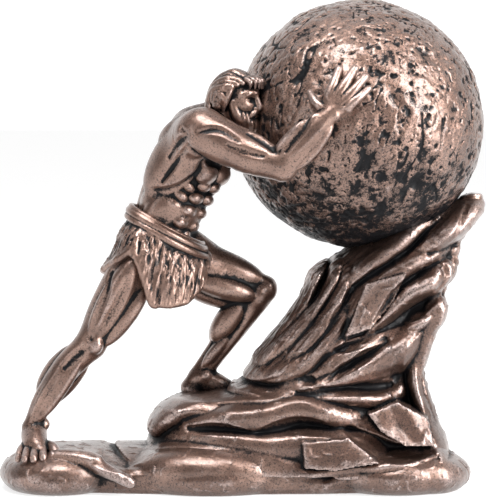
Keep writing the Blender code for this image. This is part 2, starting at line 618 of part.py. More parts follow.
# Folds that run along the rim, as shares of its half length and of its height.
RIM_FOLDS = (
    ((-0.82, 0.95), (-0.62, 0.95), (-0.45, 0.45)),
    ((-0.58, 0.45), (-0.34, 0.85), (-0.04, 0.95), (0.24, 0.45)),
    ((0.1, 0.35), (0.36, 0.5), (0.62, 0.9), (0.84, 0.95)),
    ((-0.9, 0.45), (-0.66, 0.3), (-0.4, 0.3)),
)
FOLD_HALF_WIDTH = 5.5
FOLD_HEIGHT = 3.2


def base(shell):
    sections = []
    for share, inset in BASE_EDGE:
        half_length = BASE_HALF_LENGTH - inset
        height = share * BASE_TOP if share > 0 else share
        left, right = -half_length - BASE_SHIFT, half_length - BASE_SHIFT
        sections.append((height, left, right, BASE_HALF_DEPTH - inset))
    stack(shell, sections, BASE_POWER)
    for place, radii in SWELLINGS:
        centre = at(place.x * BASE_HALF_LENGTH - BASE_SHIFT / 2, place.y * BASE_HALF_DEPTH, place.z * BASE_TOP)
        mass(shell, centre, radii)
    for fold in RIM_FOLDS:
        for side in (NEAR, FAR):
            rim_fold(shell, fold, side)


def rim_fold(shell, fold, side):
    spine = []
    for across, up in fold:
        depth = rounded_depth(across, BASE_HALF_DEPTH - 2, BASE_POWER)
        spine.append(at(-side * across * BASE_HALF_LENGTH - BASE_SHIFT, side * depth, up * BASE_TOP))
    half_widths = [FOLD_HALF_WIDTH * math.sin(math.pi * (i + 0.6) / len(fold)) for i in range(len(fold))]
    crag(shell, spine, half_widths, [FOLD_HEIGHT] * len(fold), at(0, side, 0.8))


def clear_scene():
    for found in list(bpy.data.objects):
        bpy.data.objects.remove(found, do_unlink=True)


def bronze():
    material = bpy.data.materials.new("bronze")
    material.use_nodes = True
    shader = material.node_tree.nodes["Principled BSDF"]
    shader.inputs["Base Color"].default_value = BRONZE
    shader.inputs["Roughness"].default_value = BRONZE_ROUGHNESS
    shader.inputs["Metallic"].default_value = BRONZE_METALLIC
    return material


def add_object(name, shell):
    mesh = bpy.data.meshes.new(name)
    bmesh.ops.recalc_face_normals(shell, faces=shell.faces)
    shell.to_mesh(mesh)
    shell.free()
    made = bpy.data.objects.new(name, mesh)
    bpy.context.scene.collection.objects.link(made)
    return made


def underside_cutter():
    """A block below the ground plane that trims the underside flat."""
    shell = bmesh.new()
    bmesh.ops.create_cube(shell, size=4 * STATUE_HEIGHT)
    bmesh.ops.translate(shell, vec=-2 * STATUE_HEIGHT * Z, verts=shell.verts)
    cutter = add_object("underside_cutter", shell)
    cutter.hide_render = True
    cutter.display_type = "WIRE"
    return cutter


def fuse(statue):
    """Makes the overlapping forms one faceted casting with a flat underside."""
    union = statue.modifiers.new("union", "REMESH")
    union.mode = "VOXEL"
    union.voxel_size = VOXEL * UNIT
    soften = statue.modifiers.new("soften", "SMOOTH")
    soften.factor = SMOOTHING
    soften.iterations = SMOOTHING_PASSES
    facets = statue.modifiers.new("facets", "DECIMATE")
    facets.ratio = KEPT_FACES
    trim = statue.modifiers.new("underside", "BOOLEAN")
    trim.operation = "DIFFERENCE"
    trim.object = underside_cutter()


def main():
    clear_scene()
    shell = bmesh.new()
    torso(shell)
    near_leg(shell)
    far_leg(shell)
    arm(shell, SHOULDER_NEAR, ELBOW_NEAR, WRIST_NEAR, NEAR)
    arm(shell, SHOULDER_FAR, ELBOW_FAR, WRIST_FAR, FAR)
    hand(shell, WRIST_NEAR, NEAR)
    hand(shell, WRIST_FAR, FAR)
    head(shell)
    loincloth(shell)
    mass(shell, BOULDER, (BOULDER_RADIUS,) * 3, fineness=5)
    crag_body(shell)
    base(shell)
    statue = add_object("statue", shell)
    statue.data.materials.append(bronze())
    fuse(statue)


main()
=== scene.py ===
import math

import bmesh
import bpy
import numpy as np
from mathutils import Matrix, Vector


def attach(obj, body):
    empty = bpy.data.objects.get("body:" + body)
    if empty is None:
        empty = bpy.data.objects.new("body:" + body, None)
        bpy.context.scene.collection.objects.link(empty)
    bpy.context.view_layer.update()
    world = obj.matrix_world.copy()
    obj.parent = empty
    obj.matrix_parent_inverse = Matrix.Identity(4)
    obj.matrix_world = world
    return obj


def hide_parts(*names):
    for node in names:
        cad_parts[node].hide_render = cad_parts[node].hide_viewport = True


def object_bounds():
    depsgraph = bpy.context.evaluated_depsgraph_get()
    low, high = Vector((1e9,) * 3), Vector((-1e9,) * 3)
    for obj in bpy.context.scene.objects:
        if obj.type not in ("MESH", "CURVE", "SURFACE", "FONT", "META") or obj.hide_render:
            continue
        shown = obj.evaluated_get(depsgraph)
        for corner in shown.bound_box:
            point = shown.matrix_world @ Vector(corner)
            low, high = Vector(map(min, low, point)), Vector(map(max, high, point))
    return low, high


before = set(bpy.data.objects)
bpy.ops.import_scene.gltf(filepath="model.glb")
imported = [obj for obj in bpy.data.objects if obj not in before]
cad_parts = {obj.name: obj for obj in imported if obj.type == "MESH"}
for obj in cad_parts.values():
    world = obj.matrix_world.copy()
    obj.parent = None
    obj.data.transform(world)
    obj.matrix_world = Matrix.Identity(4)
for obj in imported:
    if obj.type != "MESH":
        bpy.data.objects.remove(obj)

import openvdb
from mathutils import Vector

# The casting is carved in units of a two-hundredth of its height, in the solid's own frame.
# +X is the uphill side, and -Y is the side that the viewer sees.
CAD_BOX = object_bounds()
STATUE_UNITS = 200
UNIT = (CAD_BOX[1].z - CAD_BOX[0].z) / STATUE_UNITS
NEAR, FAR = -1, 1
X, Y, Z = np.eye(3)

# Fineness of each piece's grid in units, and the most triangles that it keeps.
FIGURE_GRID = 0.45
HEAD_GRID = 0.26
CLOTH_GRID = 0.34
CRAG_GRID = 0.45
BASE_GRID = 0.5
WHOLE_GRID = 1.0
MOST_TRIANGLES = 160000
EMPTY = 30.0
MARGIN_CELLS = 3
NOISE_TABLE = 32
# A groove's cutter, in half depths: how far off the surface it runs, and its radius.
GROOVE_LIFT, GROOVE_RADIUS = 1.7, 2.5


def at(*place):
    return np.array(place, float)


def unit(vector):
    vector = np.asarray(vector, float)
    return vector / np.linalg.norm(vector)


def between(start, end, share):
    return start + (end - start) * share


def table_value(rows, key):
    """Straight-line reading of rows of (key, value), the value a number or a vector."""
    for (low, first), (high, second) in zip(rows, rows[1:]):
        if key <= high or high == rows[-1][0]:
            share = min(max((key - low) / (high - low), 0), 1)
            return first + (second - first) * share


def smooth_min(a, b, blend):
    if blend <= 0:
        return np.minimum(a, b)
    share = np.clip(0.5 + 0.5 * (a - b) / blend, 0, 1)
    return a + (b - a) * share - blend * share * (1 - share)


def smooth_max(a, b, blend):
    return -smooth_min(-a, -b, blend)


def smooth_path(points, sizes, steps):
    """A Catmull-Rom curve through the points as rows of x, y, z and the sizes carried along."""
    rows = np.column_stack([np.array(points, float), np.array(sizes, float)])
    if len(rows) == 2:
        return rows
    rows = np.vstack([2 * rows[0] - rows[1], rows, 2 * rows[-1] - rows[-2]])
    path = []
    for i in range(1, len(rows) - 2):
        p0, p1, p2, p3 = rows[i - 1 : i + 3]
        for t in np.arange(steps) / steps:
            bend = p1 * 2 + (p2 - p0) * t + (p0 * 2 - p1 * 5 + p2 * 4 - p3) * t**2
            path.append((bend + (p1 * 3 - p0 - p2 * 3 + p3) * t**3) / 2)
    path.append(rows[-2])
    return np.array(path)


def eased(share):
    """A share from 0 to 1 that starts and ends softly."""
    return share * share * (3 - 2 * share)


def corner_weights(share):
    """The corners of a cell, each with its weight for places at a share of the cell's sides."""
    for corner in np.ndindex(2, 2, 2):
        weight = 1
        for axis, side in enumerate(corner):
            weight = weight * (share[axis] if side else 1 - share[axis])
        yield corner, weight


def read_grid(grid, low, step, points):
    """Reads a grid of values between its places."""
    place = np.clip((points - low) / step, 0, np.array(grid.shape) - 1.001)
    cell = place.astype(int)
    corners = corner_weights((place - cell).T)
    return sum(weight * grid[tuple((cell + corner).T)] for corner, weight in corners)


def noise(points, size, seed):
    """Smooth random values from -1 to 1, in lumps about as large as size."""
    table = np.random.default_rng(seed).uniform(-1, 1, (NOISE_TABLE,) * 3)
    place = points / size
    cell = np.floor(place).astype(int)
    corners = corner_weights(eased((place - cell).T))
    return sum(weight * table[tuple(((cell + corner) % NOISE_TABLE).T)] for corner, weight in corners)


def pits(points, size, seed):
    """Depth from 0 to 1 of round hollows strewn over a surface, about size apart."""
    drawn = np.random.default_rng(seed)
    spots = drawn.uniform(0.1, 0.9, (NOISE_TABLE,) * 3 + (3,))
    widths = drawn.uniform(0.15, 0.45, (NOISE_TABLE,) * 3)
    place = points / size
    depth = np.zeros(len(points))
    for offset in np.ndindex(3, 3, 3):
        cell = np.floor(place).astype(int) + offset - 1
        key = tuple((cell % NOISE_TABLE).T)
        gap = np.linalg.norm(place - cell - spots[key], axis=1)
        depth = np.maximum(depth, 1 - gap / widths[key])
    return eased(depth)


def creases(points, size, width, seed):
    """Depth from 0 to 1 of thin winding creases, broken up into short lengths."""
    line = 1 - np.abs(noise(points, size, seed)) / width
    return np.maximum(line, 0) * np.clip(noise(points, size * 0.7, seed + 1) * 4 - 0.4, 0, 1)


def stretched(points, along, times):
    """The points with distances along a direction made shorter, so that noise on them runs that way."""
    along = unit(along)
    return points - np.outer(points @ along, along) * (1 - 1 / times)


def blurred(solid, cells):
    """The share of solid round each place of a grid."""
    for axis in (0, 1, 2, 0, 1, 2):
        width = [(0, 0)] * 3
        width[axis] = (cells + 1, cells)
        sums = np.cumsum(np.pad(solid, width, mode="edge"), axis=axis, dtype=np.float32)
        count = solid.shape[axis]
        high = np.take(sums, range(2 * cells + 1, 2 * cells + 1 + count), axis=axis)
        solid = (high - np.take(sums, range(count), axis=axis)) / (2 * cells + 1)
    return solid


class Form:
    """A form as distances from its surface on a grid, negative inside."""

    def __init__(self, low, high, step):
        self.low = np.array(low, float)
        self.step = step
        shape = np.ceil((np.array(high) - self.low) / step).astype(int) + 1
        self.grid = np.full(shape, EMPTY, np.float32)

    def window(self, low, high):
        """The cells between two corners, as slices, and their places."""
        first = np.floor((low - self.low) / self.step).astype(int)
        last = np.ceil((high - self.low) / self.step).astype(int) + 1
        first = np.clip(first, 0, self.grid.shape)
        last = np.clip(last, first, self.grid.shape)
        cells = tuple(slice(a, b) for a, b in zip(first, last))
        sides = [self.low[k] + self.step * np.arange(first[k], last[k]) for k in range(3)]
        return cells, [side.astype(np.float32) for side in np.ix_(*sides)]

    def merge(self, cells, distance, blend, carve):
        """Adds a form, given as its distances over some cells, or cuts it away."""
        if carve:
            self.grid[cells] = smooth_max(self.grid[cells], -distance, blend)
        else:
            self.grid[cells] = smooth_min(self.grid[cells], distance, blend)

    def put(self, low, high, distance, blend, carve=False):
        """Merges a form that lies between two corners and is given by its distance function."""
        margin = blend + MARGIN_CELLS * self.step
        cells, places = self.window(low - margin, high + margin)
        if 0 not in self.grid[cells].shape:
            self.merge(cells, distance(*places).astype(np.float32), blend, carve)

    def limb(self, points, radii, blend=1.0, flat=None, carve=False, steps=5):
        """A round limb through the points. flat is (direction, share) and thins it that way."""
        path = smooth_path(points, radii, steps)
        spots, sizes = path[:, :3], path[:, 3]
        margin = blend + MARGIN_CELLS * self.step
        low = spots.min(0) - sizes.max() - margin
        high = spots.max(0) + sizes.max() + margin
        cells, _ = self.window(low, high)
        if 0 in self.grid[cells].shape:
            return
        nearest = np.full(self.grid[cells].shape, EMPTY, np.float32)
        start = np.array([cell.start for cell in cells])
        for a, b, first, last in zip(spots, spots[1:], sizes, sizes[1:]):
            reach = max(first, last) + margin
            part, (x, y, z) = self.window(np.minimum(a, b) - reach, np.maximum(a, b) + reach)
            inner = tuple(slice(p.start - s, p.stop - s) for p, s in zip(part, start))
            inner = tuple(slice(max(p.start, 0), p.stop) for p in inner)
            if 0 in nearest[inner].shape or nearest[inner].shape != self.grid[part].shape:
                continue
            ab = b - a
            x, y, z = x - a[0], y - a[1], z - a[2]
            t = np.clip((x * ab[0] + y * ab[1] + z * ab[2]) / (ab @ ab + 1e-9), 0, 1)
            x, y, z = x - t * ab[0], y - t * ab[1], z - t * ab[2]
            squares = x * x + y * y + z * z
            if flat:
                along = x * flat[0][0] + y * flat[0][1] + z * flat[0][2]
                squares = squares + along * along * (1 / flat[1] ** 2 - 1)
            distance = np.sqrt(squares) - (first + (last - first) * t)
            nearest[inner] = np.minimum(nearest[inner], distance)
        self.merge(cells, nearest, blend, carve)

    def mass(self, centre, radii, axes=(X, Y, Z), blend=1.0, carve=False):
        """A stretched ball, its radii along the three axes."""
        radii = np.array(radii, float)
        axes = np.array(axes, float)
        reach = np.sqrt(((axes * radii[:, None]) ** 2).sum(0))

        def distance(x, y, z):
            spread = slope = 0
            for axis, radius in zip(axes, radii):
                along = (x - centre[0]) * axis[0] + (y - centre[1]) * axis[1] + (z - centre[2]) * axis[2]
                spread = spread + (along / radius) ** 2
                slope = slope + (along / radius**2) ** 2
            spread = np.sqrt(spread)
            return spread * (spread - 1) / (np.sqrt(slope) + 1e-6)

        self.put(centre - reach, centre + reach, distance, blend, carve)

    def muscle(self, start, end, half_width, half_depth, facing, blend=1.0, carve=False):
        """A spindle from start to end that swells towards facing."""
        along = unit(end - start)
        out = unit(facing - along * (facing @ along))
        radii = (np.linalg.norm(end - start) / 2, half_depth, half_width)
        self.mass(between(start, end, 0.5), radii, (along, out, np.cross(along, out)), blend, carve)

    def near_side(self, x, z):
        """A place on the form's near side."""
        i, k = np.rint((np.array((x, z)) - self.low[[0, 2]]) / self.step).astype(int)
        return at(x, self.low[1] + self.step * np.argmax(self.grid[i, :, k] < 0), z)

    def score(self, places, radii, blend=1.4):
        """Cuts a shallow groove along the near side through places across and up, given its half depths."""
        spots = [self.near_side(x, z) - Y * (GROOVE_LIFT * depth) for (x, z), depth in zip(places, radii)]
        self.limb(spots, [GROOVE_RADIUS * depth for depth in radii], blend, carve=True)

    def emboss(self, relief):
        """Raises the near side by a relief over the XZ plane, and the far side by less."""
        side_x, side_y, side_z = (low + self.step * np.arange(n) for low, n in zip(self.low, self.grid.shape))
        share = np.interp(side_y, RELIEF_DEPTHS, (1, FAR_RELIEF)).astype(np.float32)
        raised = relief(side_x[:, None], side_z[None, :]).astype(np.float32)
        self.grid -= raised[:, None, :] * share[:, None]

    def trim(self, height):
        """Cuts the form off flat below a height."""
        z = self.low[2] + self.step * np.arange(self.grid.shape[2])
        self.grid = np.maximum(self.grid, (height - z).astype(np.float32))

    def surface(self):
        """The form's surface as places and four-sided faces."""
        volume = openvdb.FloatGrid()
        volume.background = EMPTY
        volume.copyFromArray(self.grid)
        points, quads = volume.convertToQuads(isovalue=0)
        return points * self.step + self.low, quads[:, ::-1]


def outline_distance(x, z, outline):
    """Distance in the XZ plane to a closed outline, negative inside it."""
    nearest = EMPTY**2
    inside = np.zeros(np.broadcast(x, z).shape, bool)
    for (ax, az), (bx, bz) in zip(outline, np.roll(outline, -1, axis=0)):
        ex, ez = bx - ax, bz - az
        px, pz = x - ax, z - az
        t = np.clip((px * ex + pz * ez) / (ex * ex + ez * ez), 0, 1)
        nearest = np.minimum(nearest, (px - ex * t) ** 2 + (pz - ez * t) ** 2)
        crosses = (az > z) != (bz > z)
        inside ^= crosses & (px < ex * pz / (ez if ez else 1e-9))
    return np.where(inside, -1, 1) * np.sqrt(nearest)


# The boulder rests where its lower uphill side meets the crag.
BOULDER_RADIUS = 51
BOULDER_REST = at(64.5, 1, 101)
BOULDER = BOULDER_REST + unit((-16.7, 0, 48)) * BOULDER_RADIUS


def on_boulder(x, z, lift, side):
    """A place on the boulder's near or far side, raised off it by lift. x and z are from its middle."""
    reach = BOULDER_RADIUS + lift
    return BOULDER + at(x, side * math.sqrt(reach**2 - x**2 - z**2), z)


# Joints of the figure.
HIP_NEAR = at(-38, -19, 103.9)
KNEE_NEAR = at(-62.5, -20, 60)
ANKLE_NEAR = at(-85, -17, 27.3)
HIP_FAR = at(-30, 0, 98.8)
KNEE_FAR = at(5.5, 5, 78.1)
ANKLE_FAR = at(-17, 7, 44.4)
NECK = at(-9.5, -15, 153)
SHOULDER_NEAR = at(-16, -36, 148.7)
SHOULDER_FAR = at(-6, 7, 148)
ELBOW_NEAR = at(15.5, -48, 135)
ELBOW_FAR = at(15, 43, 134)
WRIST_NEAR = on_boulder(-12.8, 7, 3.2, NEAR)
WRIST_FAR = on_boulder(-18.8, 7, 3.2, FAR)
HEAD = at(-2.8, -24, 160.6)

# Middle of the trunk at heights above the pelvis, and how far it turns towards the viewer there.
SPINE = (
    (-4, at(-38, -10, 97.9)),
    (4, at(-35, -10, 105.9)),
    (16, at(-29.3, -11, 117)),
    (28, at(-24, -12, 128.6)),
    (40, at(-19, -13, 139.7)),
    (52, at(-13, -14, 150.3)),
)
TURN = ((0, math.radians(44)), (50, math.radians(17)))


def trunk_axes(height):
    """Forward, left and up in the trunk at a height above the pelvis."""
    up = unit(table_value(SPINE, height + 6) - table_value(SPINE, height - 6))
    turn = table_value(TURN, height)
    ahead = at(math.cos(turn), -math.sin(turn), 0)
    front = unit(ahead - up * (ahead @ up))
    return front, np.cross(up, front), up


def trunk(forward, left, height):
    front, side, _ = trunk_axes(height)
    return table_value(SPINE, height) + front * forward + side * left


def torso(form):
    for forward, height, radii, blend in (
        (-0.5, 0, (12, 14.5, 11.5), 4),
        (0.8, 16, (12.8, 14.2, 15), 5),
        (-0.5, 35, (13.2, 17.5, 18), 5),
        (-2.5, 46, (11, 17, 10), 5),
    ):
        form.mass(trunk(forward, 0, height), radii, trunk_axes(height), blend)
    for side in (NEAR, FAR):
        trunk_muscles(form, side)
    form.limb([trunk(-4, 0, 46), NECK, HEAD + at(-2, 1, -6)], [9.2, 7.4, 6], 4)
    form.muscle(NECK + at(-4, -2, -1), SHOULDER_NEAR + at(-1, 4, 1), 5.6, 4.8, Z, 3)
    form.muscle(NECK + at(-4, 2, -1), SHOULDER_FAR + at(-1, -4, 1), 5.6, 4.8, Z, 3)


def trunk_muscles(form, side):
    front = {height: trunk_axes(height)[0] for height in (14, 24, 28, 30, 36, 40, 42)}
    outer = {height: trunk_axes(height)[1] * side for height in (14, 24, 30, 36)}
    # Chest.
    form.muscle(trunk(10.5, side * 2, 37), trunk(7, side * 17, 45), 6.5, 5, front[40], 1.2)
    form.mass(trunk(11.5, side * 6, 34), (3.8, 6.8, 5), trunk_axes(33), 0.7)
    # Broad muscle of the back, the long ones beside the spine, and the shoulder blade.
    form.muscle(trunk(-5, side * 12, 16.5), trunk(-4, side * 17, 47), 8, 4.4, outer[30] - front[30] * 0.4, 2)
    form.muscle(trunk(-1, side * 12, 19), trunk(8, side * 15.5, 41), 6.2, 5.2, outer[30], 0.6)
    form.muscle(trunk(-9, side * 4, 2), trunk(-11, side * 4, 44), 4.2, 3.8, -front[28], 2)
    form.muscle(trunk(-11, side * 7, 35), trunk(-8, side * 14.5, 47), 5, 3.7, -front[42], 0.8)
    # Flank and belly.
    flank = outer[14] + front[14] * 0.4
    form.muscle(trunk(2, side * 10.5, 4), trunk(4, side * 12.2, 18), 4.4, 2.8, flank, 0.9)
    for i in range(3):
        height = 25 - 4.4 * i
        start = trunk(11 - 0.6 * i, side * 6.5, height + 0.5)
        form.muscle(start, trunk(5.5, side * 12, height + 3), 2.3, 2.7, outer[24] + front[24], 0.5)
    for i, (height, half_width) in enumerate(((28.8, 4.1), (23.4, 4.3), (18, 4.2), (12.6, 3.9))):
        centre = trunk(11.8 - 0.25 * i, side * 3.9, height)
        form.mass(centre, (3.1, half_width, 2.7), trunk_axes(height), 0.45)
    form.mass(trunk(10.9, side * 2.6, 5.5), (3.2, 3.8, 5.4), trunk_axes(6), 0.9)


SHIN_BOW = ((0, 0), (0.3, 3), (0.7, 3.2), (1, 1.2))


def near_leg(form):
    front = at(0.35, -0.93, 0)
    outer = at(-0.85, -0.25, 0.45)
    thigh = [between(HIP_NEAR, KNEE_NEAR, share) for share in (0, 0.35, 0.7, 1)]
    form.limb(thigh, [8.8, 9.3, 8, 6.2], 3)
    form.muscle(at(-43, -27, 96.5), at(-62, -24, 61.3), 6.2, 5.3, front, 0.6)
    form.muscle(at(-45, -21, 97.5), at(-64, -19, 64), 5, 5.6, outer, 0.7)
    form.muscle(at(-39, -22, 86.5), at(-58, -22, 59.4), 4.6, 6, at(0.7, -0.7, -0.2), 0.6)
    form.muscle(at(-46, -14, 92.5), at(-64, -15, 58), 6, 5.6, at(-0.6, 0.8, 0), 1.5)
    form.mass(at(-60.5, -25.5, 60.5), (3.4, 3, 4), blend=1.2)
    shin = [between(KNEE_NEAR, ANKLE_NEAR, share) - X * bow for share, bow in SHIN_BOW]
    form.limb(shin, [6, 5.8, 4.6, 3.7], 2)
    form.muscle(at(-67, -16, 59), at(-84, -14, 37.3), 5.2, 6.3, at(-0.8, 0.4, 0.4), 0.7)
    form.muscle(at(-63.5, -14, 56.4), at(-81, -13, 34.3), 5.2, 5.2, at(0.6, 0.75, -0.3), 0.9)
    form.muscle(at(-69, -22, 57.4), at(-87, -19.5, 29.3), 2.6, 3.5, at(-0.7, -0.7, 0.1), 0.4)
    form.muscle(at(-65, -23.5, 57.4), at(-84.5, -20, 28.3), 3.6, 3.9, at(0.2, -0.95, -0.2), 0.5)
    near_foot(form)


def near_foot(form):
    form.limb([at(-85.5, -11, 19), at(-86, -17, 22), at(-85.5, -25, 18.5)], [4.6, 5.3, 4.7], 2.5)
    form.limb([at(-86, -16, 24), at(-84.5, -24, 20.5), at(-83, -29.5, 17.5)], [4.1, 4.1, 3.1], 2)
    form.mass(at(-88.5, -17.5, 25.5), (2.3, 2.3, 2.3), blend=1.2)
    form.mass(at(-81.8, -16.5, 26.5), (2.3, 2.3, 2.3), blend=1.2)
    toes = (
        (at(-76.5, -30.5, 16.6), 2.35),
        (at(-81.3, -34, 15.9), 1.7),
        (at(-85, -34.8, 15.4), 1.6),
        (at(-88.6, -34, 15.2), 1.5),
        (at(-91.6, -32, 15.2), 1.4),
    )
    for i, (tip, radius) in enumerate(toes):
        root = at(-79.5 - 2.6 * i, -24 + 0.4 * i, 18.6)
        knuckle = between(root, tip, 0.6) + Z
        points = [root, knuckle, tip, tip + at(0, -1, -1)]
        form.limb(points, [radius, radius, radius, radius * 0.85], 0.3)
        nail = tip + at(0, -1.5, 0.8)
        form.mass(nail, (radius * 0.6, 0.7, 0.5), blend=0.15)


def far_leg(form):
    up = at(0.35, -0.1, 0.93)
    thigh = [HIP_FAR + Z, at(-12, 3, 87.2), KNEE_FAR + at(-2.5, 0, 0.5)]
    form.limb(thigh, [11, 10, 6.8], 3)
    form.muscle(at(-28, -1, 97.5), at(9.5, 4.5, 82.8), 7.5, 6.9, up, 0.8)
    form.muscle(at(-24, -5, 86.8), at(5.5, -0.5, 77.6), 5.2, 5.9, -Y, 0.7)
    form.muscle(at(-26, 0, 83.8), at(1, 5, 74.6), 6.5, 5.9, -Z, 1.2)
    form.mass(at(10, 5, 80.3), (4.4, 5.3, 5.3), blend=2.5)
    form.mass(at(6.5, 1, 78.1), (4.1, 3.1, 4.6), blend=1.4)
    shin = [at(5.5, 5, 76.6), at(-2, 5.6, 65.5), at(-10, 6.4, 54.5), ANKLE_FAR]
    form.limb(shin, [6, 5, 4.2, 3.6], 2)
    form.muscle(at(0, 1.5, 76.6), at(-12.5, 3, 58.5), 5.2, 4.5, -Y, 0.5)
    form.muscle(at(1, 5, 76.6), at(-13, 6, 57.5), 5.6, 5.7, at(-0.8, 0, 0.5), 1)
    form.muscle(at(-5, 1.8, 62.5), at(-17, 4, 47.4), 2.6, 2.5, -Y, 0.4)
    form.muscle(at(7, 2, 75.6), at(-14, 5, 46.4), 2.8, 2.9, at(0.5, -0.8, -0.3), 0.5)
    form.limb([at(-12, 6.6, 56.4), at(-19, 7, 46.4), at(-22.5, 7, 38.9)], [2.5, 2, 3.3], 1)
    form.mass(at(-21.5, 7, 38.1), (4.3, 4.7, 4.2), blend=1.5)
    form.mass(at(-15.5, 3.3, 43.9), (2.4, 2.4, 2.4), blend=1)
    foot = [at(-18, 7, 42.3), at(-12, 6.5, 40.2), at(-5, 6.2, 37.2), at(1, 5.6, 35.8)]
    form.limb(foot, [4.7, 4.9, 3.7, 2.5], 1.8)
    for i in range(5):
        tip = at(4.6 - 1.1 * i, 1.8 + 2.5 * i, 35.2)
        radius = 1.5 if i else 2.05
        root = at(-6, 3.5 + 1.8 * i, 36.7)
        points = [root, tip + at(-2.5, 0, 1.3), tip]
        form.limb(points, [radius * 1.1, radius, radius * 0.95], 0.4)


def arm(form, shoulder, elbow, wrist, side):
    outward = at(-0.2, side * 0.97, 0.1)
    up = at(-0.35, 0, 0.93)
    form.mass(shoulder + at(-1.5, side * -0.5, -1.5), (9.2, 7.9, 8), blend=6)
    form.mass(shoulder + at(-5.5, side * -8, -5.5), (7.2, 9, 10), blend=6)
    deltoid_end = between(shoulder, elbow, 0.55) + at(-2, side * 2.5, 0)
    form.muscle(shoulder + at(-6, side * 1.5, 1), deltoid_end, 6.4, 5.4, outward, 2.4)
    upper = [shoulder, between(shoulder, elbow, 0.5) + at(0, 0, -1.6), elbow]
    form.limb(upper, [8.6, 8.2, 6.2], 5)
    biceps = between(shoulder, elbow, 0.22) + at(1, side * -0.5, 3)
    form.muscle(biceps, between(shoulder, elbow, 0.92) + at(0, 0, 2.6), 5, 5, up, 0.6)
    triceps = between(shoulder, elbow, 0.2) + at(0, side, -4)
    form.muscle(triceps, between(shoulder, elbow, 0.93) + at(0, 0, -2.6), 5.4, 5.4, -up, 0.7)
    form.mass(elbow + at(1, side * 0.5, -2.2), (4.2, 3.9, 4), blend=1.5)
    forearm = [between(elbow, wrist, share) for share in (0, 0.25, 0.55, 0.8, 1)]
    form.limb(forearm, [5.4, 6.2, 6, 4.6, 3.2], 1.6)
    # Long muscles of the forearm: above, outside and below.
    for start, end, half_width, facing in (
        (at(-3.2, side * 1.5, 4), at(-1.6, side * 0.8, 1.4), 3, at(-0.6, side * 0.7, 0.5)),
        (at(0.5, side * 3, 1), at(0.3, side * 1.6, -0.4), 2.4, at(0.2, side, -0.1)),
        (at(3.6, side * 1.5, -2), at(2.2, side * 0.6, -1.2), 3, at(0.7, side * 0.6, -0.5)),
    ):
        finish = between(elbow, wrist, 0.92) + end
        form.muscle(elbow + start, finish, half_width, 4.4, facing, 0.35)
    form.mass(wrist + at(1.6, side * 0.6, -1.2), (1.9, 1.9, 1.9), blend=1.6)


# Hand on the boulder: places from the boulder's middle, across and up.
WRIST_END = (-12, 8.5)
PALM = (-10.8, 12.6)
PALM_MIDDLE = (-10.4, 11)
FINGERS = (
    ((-13.2, 14.6), (-9.4, 24), 1.95),
    ((-9.4, 14.8), (-3.2, 24.2), 2.05),
    ((-6.6, 13), (1, 21), 1.95),
    ((-5.4, 10.2), (2.2, 16.4), 1.75),
)
THUMB = ((-14.4, 8, 2.4), (-17.6, 9.6, 2.4), (-19.6, 12, 1.8), (-21, 14.8, 0.9))
FAR_HAND_BACK = -6


def hand(form, wrist, side):
    back = FAR_HAND_BACK if side == FAR else 0

    def spot(x, z, lift):
        return on_boulder(x + back, z, lift, side)

    out = unit(spot(*PALM, 0) - BOULDER)
    palm = [wrist, spot(*WRIST_END, 2.8), spot(*PALM, 2.4)]
    form.limb(palm, [3.2, 4.2, 4.4], 1.2, flat=(out, 0.65))
    form.mass(spot(*PALM_MIDDLE, 2), (6, 5.4, 2.9), (X, unit(np.cross(out, X)), out), 1.2)
    for knuckle, tip, radius in FINGERS:
        root = spot(knuckle[0] - 0.6, knuckle[1] - 1.5, 3)
        middle = [(a + b) / 2 for a, b in zip(knuckle, tip)]
        points = [root, spot(*knuckle, 3.2), spot(*middle, 2.8), spot(*tip, 1.2)]
        form.limb(points, [radius, radius * 1.15, radius, radius * 0.85], 0.3)
        # The tendon on the back of the hand.
        tendon = [spot(*WRIST_END, 5), root + out * 1.3, spot(*knuckle, 4)]
        form.limb(tendon, [0.7, 0.8, 0.9], 0.6)
    form.limb([spot(*place) for place in THUMB], [2.5, 2.3, 1.9, 1.3], 0.7)


# Folds between the muscles on the near side, across and up, with half widths.
FOLDS_OF_SKIN = (
    # Hollow beside the shoulder blade, and the edge of the shoulder over the armpit.
    (((-25, 149), (-23.8, 146), (-27.6, 141.8), (-30, 137.3)), (0.4, 0.8, 0.5, 0.2)),
    (((-22, 141.5), (-15, 136.6), (-9.2, 133), (-2.8, 131.5)), (0.4, 0.7, 0.7, 0.3)),
    (((-22, 143), (-27.8, 134.4), (-33, 127)), (0.2, 0.35, 0.2)),
    # Round the shoulder's muscle, and between the muscles of the upper arm.
    (((-17.8, 148), (-9.2, 149.5), (-2, 145)), (0.2, 0.6, 0.3)),
    (((-6, 143), (1, 140.5), (8, 139)), (0.2, 0.6, 0.2)),
    (((2, 147.5), (8, 145), (12, 141.5)), (0.2, 0.7, 0.4)),
    # Along the forearm.
    (((17, 141), (23, 150), (28, 158)), (0.2, 0.7, 0.2)),
    # Lower edge of the broad muscle.
    (((-36.5, 123.5), (-30, 123.6), (-24.5, 125.5), (-18.3, 130.5), (-16.4, 135.5)),
     (0.2, 0.6, 0.7, 0.7, 0.3)),
    # Between the muscles of the thigh and the shin.
    (((-54, 90), (-57, 81), (-61, 70), (-62, 63)), (0.5, 0.9, 0.9, 0.4)),
    (((-47, 87), (-50, 78), (-55, 69), (-59, 65.5)), (0.6, 1, 1.1, 0.5)),
    (((-66, 57), (-73, 47), (-79, 37), (-83, 30)), (0.4, 0.8, 0.8, 0.4)),
    (((-63, 59), (-68, 56), (-73, 51)), (0.4, 0.7, 0.4)),
)


